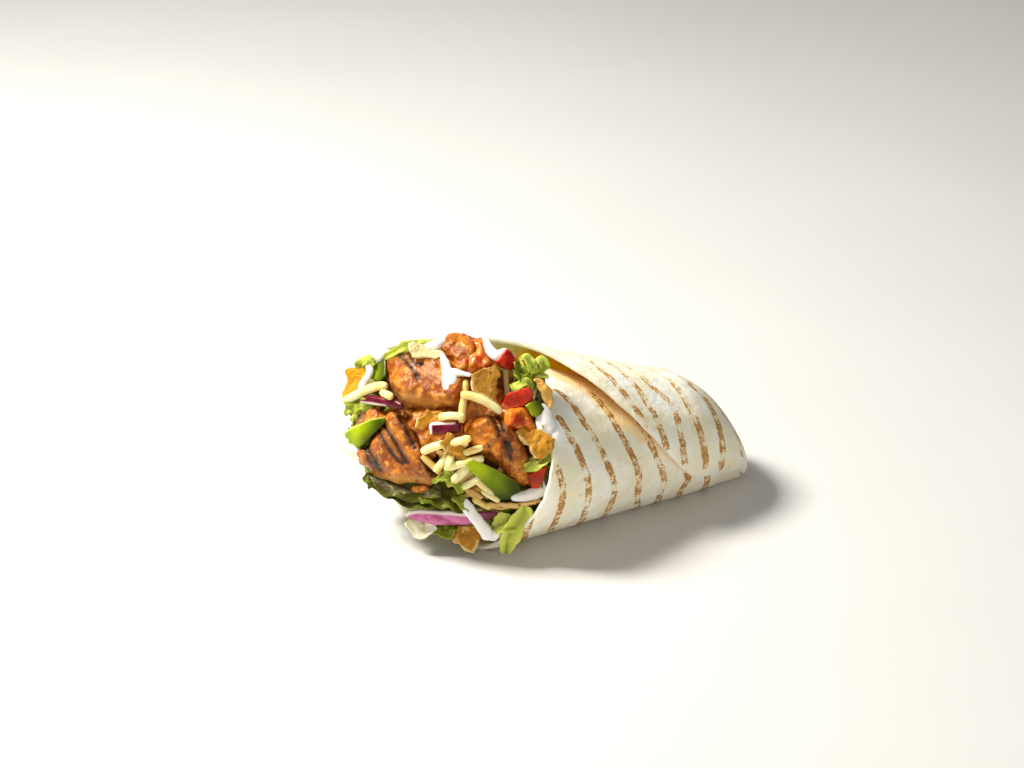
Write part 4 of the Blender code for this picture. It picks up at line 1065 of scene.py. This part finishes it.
for here in scatter_frames(open_places(70, 3), 8, 1.1):
    made = bmesh.ops.create_cone(
        bm, cap_ends=True, segments=7, radius1=0.95 * MM, radius2=0.85 * MM, depth=dice.uniform(6, 11) * MM
    )
    bmesh.ops.transform(bm, matrix=here @ Matrix.Rotation(math.pi / 2, 4, "Y"), verts=made["verts"])
    # Each scattered shred is darkened by a random amount through its shade value.
    shades += [dice.uniform(0.1, 0.6)] * len(made["verts"])
bmesh.ops.recalc_face_normals(bm, faces=bm.faces)
paint(bm, "shade", shades)
loose = piece_from("loose_cheese", bm, CHEESE, sharp=50)
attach(loose, "root")

# ---------------------------------------------------------------- lettuce
# Torn and shredded iceberg and leaf lettuce: thin, ruffled and nearly white along the ribs, with painted
# light that brightens the frills and the lit leaves, and painted shade on the leaves in shadow.


def along_spine(knots, share):
    return Vector([through([(k, place[axis]) for k, place in knots], share) for axis in range(3)])


def frond(bm, spine, width, ruffle, seed, frills=3.0, roll=0.0, keel=0.0, long=40, wide=12):
    """A ruffled leaf along (right, up, top) places; returns each vertex's share across and along."""
    made = bmesh.ops.create_grid(bm, x_segments=long, y_segments=wide, size=1)
    points = [spot(*place) / MM for place in spine]
    knots = [(k / (len(points) - 1), p) for k, p in enumerate(points)]
    lean = math.radians(roll)
    shape = []
    for vert in made["verts"]:
        share, across = (vert.co.x + 1) / 2, vert.co.y
        middle = along_spine(knots, share)
        after = along_spine(knots, min(share + 0.04, 1.0))
        before = along_spine(knots, max(share - 0.04, 0.0))
        heading = (after - before).normalized()
        side = heading.cross(OUT).normalized()
        upward = side.cross(heading)
        rolled = side * math.cos(lean) + upward * math.sin(lean)
        side, upward = rolled, upward * math.cos(lean) - side * math.sin(lean)
        uneven = 1 + 0.18 * noise.noise(Vector((share * 9, across * 2, seed)))
        taper = (1 - 0.55 * abs(2 * share - 1) ** 3) * uneven
        frill = abs(across) ** 1.5
        swing = math.sin(frills * math.tau * share + seed + 0.9 * math.copysign(1, across))
        crinkle = 0.5 * noise.noise(Vector((share * 4, across * 1.6, seed + 4)))
        crinkle += 0.30 * noise.noise(Vector((share * 14, across * 5, seed)))
        rise = ruffle * (frill * swing + crinkle) + keel * (abs(across) - 0.5)
        tuck_in = 0.35 * ruffle * frill * math.cos(frills * math.tau * share * 1.3 + seed)
        reach = across * width / 2 * taper + tuck_in
        vert.co = (middle + side * reach + upward * rise) * MM
        shape.append((abs(across), share))
    return shape


def lettuce_colour(tree):
    leafy = patches(tree, tone(104, 114, 12), tone(152, 166, 36), 210, 4, 0.36, 0.62)
    # On the leaves the shade value is painted shade and the light value painted light; on the loose shreds
    # both come from a random brightness.
    leafy = tinted(tree, "shade", leafy, tone(50, 46, 4))
    leafy = tinted(tree, "light", leafy, tone(206, 212, 100))
    veins = ease(tree, grain(tree, 380, 2, stretch=(1.0, 0.5, 1.0)), 0.55, 0.66, 0.0, 0.35)
    leafy = lay_over(tree, veins, leafy, tone(178, 188, 72))
    return tinted(tree, "rib", leafy, tone(238, 238, 206), 1.0, 0.2, 0.9)


LETTUCE = finish(
    "lettuce_leaf", lettuce_colour, 0.42, lambda tree: grain(tree, 520, 3), 0.30,
    soft=0.7, glow=(0.6, 1.0, 0.15), soft_scale=1.2,
)


def leaf_piece(name, bm, thick):
    obj = piece_from(name, bm, LETTUCE)
    wall = obj.modifiers.new("thickness", "SOLIDIFY")
    wall.thickness = thick * MM
    wall.offset = 0
    return settled(obj)


for name, width, ruffle, frills, roll, keel, rib, light, shade, *spines in (
    ("lettuce_front", 6.2, 0.9, 1.4, 15, 1.4, 0.3, 1.0, 0.0,
     ((-4.6, 2.2, 2.6), (-5.2, -1.2, 4.0), (-7.6, -4.6, 4.6), (-9.4, -7.6, 4.4), (-10.4, -12.8, 3.2)),
     ((-14.4, -4.6, 2.2), (-12.0, -3.4, 3.0), (-9.6, -3.2, 3.2), (-7.6, -4.4, 3.0))),
    ("lettuce_curl", 3.4, 0.5, 1.2, 35, 0, 0.2, 0.65, 0.0,
     ((-6.6, 48.2, 1.2), (-4.6, 49.2, 2.4), (-3.4, 47.2, 3.0), (-2.0, 45.4, 2.6), (0.0, 43.8, 2.0),
      (2.6, 42.6, 1.2)),
     ((-1.6, 46.8, 1.0), (0.2, 48.4, 1.6), (1.4, 46.4, 1.6), (0.6, 44.6, 1.2)),
     ((-9.0, 38.8, 2.4), (-6.6, 40.0, 3.0), (-4.2, 40.6, 2.8), (-2.0, 39.6, 2.0))),
    ("lettuce_fold", 4.4, 0.9, 1.4, 40, 0, 0.1, 0.1, 0.6,
     ((-7.0, 47.4, 0.2), (-6.4, 45.0, 1.2), (-5.8, 42.8, 1.6), (-6.2, 40.4, 1.4)),
     ((0.0, 43.4, 0.8), (-2.2, 42.0, 1.4), (-3.6, 40.6, 1.4), (-2.2, 38.4, 1.0)),
     ((-3.4, 46.6, -0.6), (-2.6, 43.8, 0.2), (-4.6, 41.6, 0.4), (-8.0, 41.4, 0.4))),
    ("lettuce_right", 3.8, 0.9, 1.6, 20, 0, 0.3, 0.8, 0.0,
     ((-4.8, 13.4, 1.6), (-1.8, 15.0, 2.4), (1.2, 16.4, 2.6), (3.0, 18.4, 2.4), (3.2, 20.8, 2.0)),
     ((-3.6, 15.6, 0.6), (0.0, 17.4, 1.0), (2.6, 19.0, 0.8))),
    ("lettuce_bed", 6.6, 1.0, 2.6, 15, 0, 0.0, 0.0, 1.0,
     ((-56.0, 12.0, -2.0), (-51.0, 9.4, -1.2), (-44.4, 7.4, -0.4), (-37.0, 6.6, 0.0), (-30.4, 7.0, -0.2)),
     ((-52.0, 8.6, -3.4), (-46.0, 6.4, -2.6), (-40.0, 4.8, -1.8), (-34.0, 4.4, -1.6), (-27.0, 4.6, -1.6)),
     ((-40.0, 5.4, 0.2), (-35.0, 5.6, 0.8), (-30.0, 4.6, 0.6), (-25.0, 3.0, 0.4), (-21.0, 2.0, 0.0))),
    ("lettuce_strip", 3.4, 0.9, 1.6, 30, 0, 0.1, 0.3, 0.3,
     ((-33.6, 9.8, 1.6), (-31.0, 11.0, 2.8), (-28.4, 11.0, 3.4), (-26.2, 9.2, 3.2), (-24.8, 6.2, 2.2)),
     ((-27.0, 5.0, 2.2), (-25.0, 3.8, 3.0), (-22.8, 2.4, 2.8), (-21.6, 0.6, 1.6))),
    ("lettuce_rib", 5.5, 0.8, 1.4, 20, 0, 1.3, 0.8, 0.0,
     ((-42.2, -2.6, -0.4), (-39.4, -4.8, 0.2), (-36.6, -6.0, 0.0), (-33.2, -3.8, -0.6))),
    ("lettuce_under", 5.0, 1.0, 1.6, 10, 0, 0.0, 0.1, 0.5,
     ((-34.4, -3.6, -1.6), (-31.6, -5.2, -1.2), (-29.0, -5.6, -1.6), (-26.4, -4.6, -2.4))),
    ("lettuce_left", 4.5, 0.9, 1.4, 0, 0, 1.3, 0.8, 0.0,
     ((-65.0, 23.8, 0.6), (-62.4, 21.6, 0.8), (-59.4, 19.4, 0.4), (-57.0, 17.8, -0.4))),
    ("lettuce_side", 4.5, 1.2, 2.0, 10, 0, 0.3, 0.3, 0.1,
     ((-63.2, 32.2, 0.2), (-60.4, 33.6, 0.8), (-57.0, 34.2, 0.6), (-53.0, 34.6, -0.6))),
    ("lettuce_top", 3.4, 0.8, 1.6, 10, 0, 0.2, 0.6, 0.0,
     ((-52.0, 49.0, 0.4), (-48.6, 50.6, 0.6), (-44.0, 52.4, 0.6), (-39.0, 53.6, 0.4), (-35.0, 53.4, 0.0)),
     ((-59.2, 46.6, 1.6), (-57.0, 48.4, 2.4), (-54.6, 48.2, 1.8), (-53.0, 47.0, 0.8))),
):
    bm = bmesh.new()
    shape = []
    for k, spine in enumerate(spines):
        turned = frond(bm, spine, width, ruffle, len(name) + spine[0][0], frills, roll, keel)
        # Painted shade is set per leaf and spine and weakens towards the frills; painted light is set per
        # leaf and grows towards the frills.
        shape += [(a, shade * (1 - 0.25 * a) * (1 - 0.1 * k)) for a, _ in turned]
    paint(bm, "rib", [rib * max(1 - a * (3.4 - 2.8 * rib), 0) for a, _ in shape])
    paint(bm, "light", [light * (0.4 + 0.6 * a) for a, _ in shape])
    paint(bm, "shade", [dark for _, dark in shape])
    carried(leaf_piece(name.replace("lettuce", "lettuce_leaf"), bm, 0.5), name)

# ---------------------------------------------------------------- shredded lettuce
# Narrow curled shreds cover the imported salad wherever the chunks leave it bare, at the sides of the mouth
# and deep under the far rim.

SHRED_CLEARANCE = 3.4 * MM
bm = bmesh.new()
across_all, light_all, shade_all = [], [], []
for here in scatter_frames(open_places(380, 11, lambda point, normal: from_middle(point) > 1.0), 12, 1.0):
    length, width = dice.uniform(9, 17), dice.uniform(2.2, 4.2)
    ends = [here @ Vector((x * length / 2 * MM, 0, 0)) for x in (-1, 1)]
    reach = 0.6 * length * MM
    if any(roll_tree.ray_cast(here.translation, end - here.translation, reach)[0] for end in ends):
        continue
    if min(roll_tree.find_nearest(end)[3] for end in ends) < SHRED_CLEARANCE:
        continue
    made = bmesh.ops.create_grid(bm, x_segments=6, y_segments=2, size=1)
    bend, turn_over, phase = dice.uniform(-2.5, 2.5), dice.uniform(0.6, 1.6), dice.uniform(0, 6.3)
    bright = dice.random()
    for vert in made["verts"]:
        x, y = vert.co.x, vert.co.y
        taper = 1 - 0.5 * abs(x) ** 3
        rise = turn_over * math.sin(2.2 * x + phase) + 0.5 * abs(y) * math.sin(5 * x + phase) - 1.6 * x * x
        local = Vector((x * length / 2, y * width / 2 * taper + bend * x * x, rise))
        across_all.append(abs(y))
        light_all.append(max(bright - 0.45, 0) * 1.3)
        shade_all.append(max(0.55 - bright, 0) * 1.5)
        vert.co = here @ (local * MM)
paint(bm, "rib", [0.0 if bright < 0.2 else 0.25 * (1 - a) for a in across_all])
paint(bm, "light", light_all)
paint(bm, "shade", shade_all)
shreds = leaf_piece("lettuce_shreds", bm, 0.45)
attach(shreds, "root")

# ---------------------------------------------------------------- sour cream
# Cold soured cream in thick white runs and drops, with the soft rounded edge of a spooned sauce.


def cream_colour(tree):
    return patches(tree, tone(240, 238, 230), tone(248, 247, 242), 120, 3, 0.40, 0.65)


CREAM = finish(
    "sour_cream_gloss", cream_colour, 0.22, lambda tree: grain(tree, 160, 2), 0.25, coat=0.5,
    soft=0.6, glow=(1.0, 0.9, 0.75), soft_scale=1.4,
)

for name, route in (
    ("cream_back", ((-30.8, 49.4, 0.9, 2.0), (-30.0, 47.2, 1.5, 2.2), (-29.4, 45.2, 1.6, 2.6),
                    (-28.6, 43.0, 2.0, 3.0), (-28.2, 40.9, 2.6, 3.4), (-28.4, 39.4, 2.2, 3.2),
                    (-27.0, 43.8, 1.5, 2.6), (-24.4, 43.4, 1.0, 2.4), (-21.8, 43.0, 0.6, 2.0))),
    ("cream_peak", ((-17.4, 55.0, 1.0, 2.2), (-16.6, 52.8, 1.4, 2.6), (-15.4, 50.4, 1.9, 2.8),
                    (-13.6, 49.0, 1.9, 2.8), (-12.0, 50.4, 1.4, 2.4), (-11.0, 51.2, 0.9, 2.0))),
    ("cream_right", ((0.8, 32.6, 1.8, 2.4), (1.4, 30.8, 2.7, 2.6), (1.8, 28.2, 3.2, 2.8),
                     (2.2, 25.4, 2.9, 2.6), (2.4, 22.8, 2.0, 2.0), (-1.2, 29.6, 2.2, 2.6))),
    ("cream_low", ((3.4, 13.4, 1.1, 1.2), (3.2, 10.6, 2.0, 1.4), (1.6, 7.8, 2.4, 1.6), (-1.6, 6.0, 2.3, 1.4),
                   (-5.0, 5.2, 2.0, 1.2), (-7.6, 5.2, 1.7, 0.8))),
    ("cream_front", ((-23.2, 3.0, 1.7, 3.2), (-22.2, 1.2, 2.0, 3.8), (-20.4, -1.2, 2.0, 4.2),
                     (-18.4, -3.8, 2.1, 4.0), (-16.4, -6.6, 2.3, 3.2), (-14.4, -7.0, 2.1, 2.6),
                     (-12.6, -5.6, 1.4, 2.4), (-11.0, -3.4, 0.9, 2.0))),
    ("cream_left", ((-48.4, 51.8, 1.2, 1.2), (-51.0, 50.6, 2.0, 1.4), (-53.6, 49.0, 2.0, 1.4),
                    (-55.0, 47.2, 1.4, 1.4), (-54.4, 44.8, 1.2, 1.6), (-55.6, 42.4, 1.3, 2.0),
                    (-57.2, 40.2, 1.4, 2.2))),
    ("cream_top", ((-36.4, 52.2, 1.1, 2.4), (-34.4, 52.4, 1.8, 2.6), (-32.4, 53.2, 1.8, 2.6),
                   (-30.6, 54.2, 1.1, 2.2))),
):
    bm = bmesh.new()
    for k in range(6 * (len(route) - 1) + 1):
        j, share = min(k // 6, len(route) - 2), k / 6 - min(k // 6, len(route) - 2)
        if name == "cream_back" and j == 5 or name == "cream_right" and j == 4:
            continue
        right, up, radius, top = (a + (b - a) * share for a, b in zip(route[j], route[j + 1]))
        ball = bmesh.ops.create_icosphere(bm, subdivisions=2, radius=radius * MM)
        bmesh.ops.scale(bm, vec=(1, 1, 0.62), verts=ball["verts"])
        here = Matrix.Translation(spot(right, up, top - 0.5 * radius)) @ AXES.to_4x4()
        bmesh.ops.transform(bm, matrix=here, verts=ball["verts"])
    bm = remeshed(bm, 0.34 * MM)
    soften(bm, 3)
    roughen(bm, (0.30, 2.6), unit=MM)
    carried(piece_from(name.replace("cream", "cream_run"), bm, CREAM), name)

# ---------------------------------------------------------------- the stage: floor, light and camera
# A plain pale table top, one soft light from high at the back left, and a faint fill from the front.

bm = bmesh.new()
bmesh.ops.create_grid(bm, x_segments=1, y_segments=1, size=1.6)


def table_colour(tree):
    return lay_over(tree, grain(tree, 8), tone(214, 212, 208), tone(222, 220, 216))


floor = piece_from("table_top", bm, finish("pale_table", table_colour, 0.7))


def soft_light(name, place, target, size, power, colour):
    lamp = bpy.data.lights.new(name, "AREA")
    lamp.size, lamp.energy, lamp.color = size, power, colour
    obj = bpy.data.objects.new(name, lamp)
    aimed = (Vector(place) - Vector(target)).to_track_quat("Z", "Y").to_matrix().to_4x4()
    obj.matrix_world = Matrix.Translation(place) @ aimed
    bpy.context.scene.collection.objects.link(obj)


soft_light("key", (-0.40, 0.26, 0.64), (0.0, 0.0, 0.03), 0.22, 11.5, (1.0, 0.97, 0.92))
soft_light("fill", (-0.25, -0.60, 0.30), (0.0, 0.0, 0.03), 0.5, 1.0, (1.0, 0.98, 0.94))
world = bpy.data.worlds.new("studio")
world.use_nodes = True
world.node_tree.nodes["Background"].inputs["Color"].default_value = (1, 1, 1, 1)
world.node_tree.nodes["Background"].inputs["Strength"].default_value = 0.26
bpy.context.scene.world = world
bpy.context.scene.view_settings.view_transform = "Standard"

lens = bpy.data.cameras.new("camera")
lens.lens, lens.sensor_width = 73.83, 36.0
lens.clip_start = 0.01
camera = bpy.data.objects.new("camera", lens)
CAMERA_DISTANCE = 0.7
turn, tilt = math.radians(-25.87), math.radians(30.6)
back = Vector((math.sin(turn) * math.cos(tilt), -math.cos(turn) * math.cos(tilt), math.sin(tilt)))
side = Vector((math.cos(turn), math.sin(turn), 0))
aim = (side * -9.38 + back.cross(side) * 43.05) * MM
stand = back * CAMERA_DISTANCE
camera.matrix_world = Matrix.Translation(stand) @ (stand - aim).to_track_quat("Z", "Y").to_matrix().to_4x4()
bpy.context.scene.collection.objects.link(camera)
bpy.context.scene.camera = camera
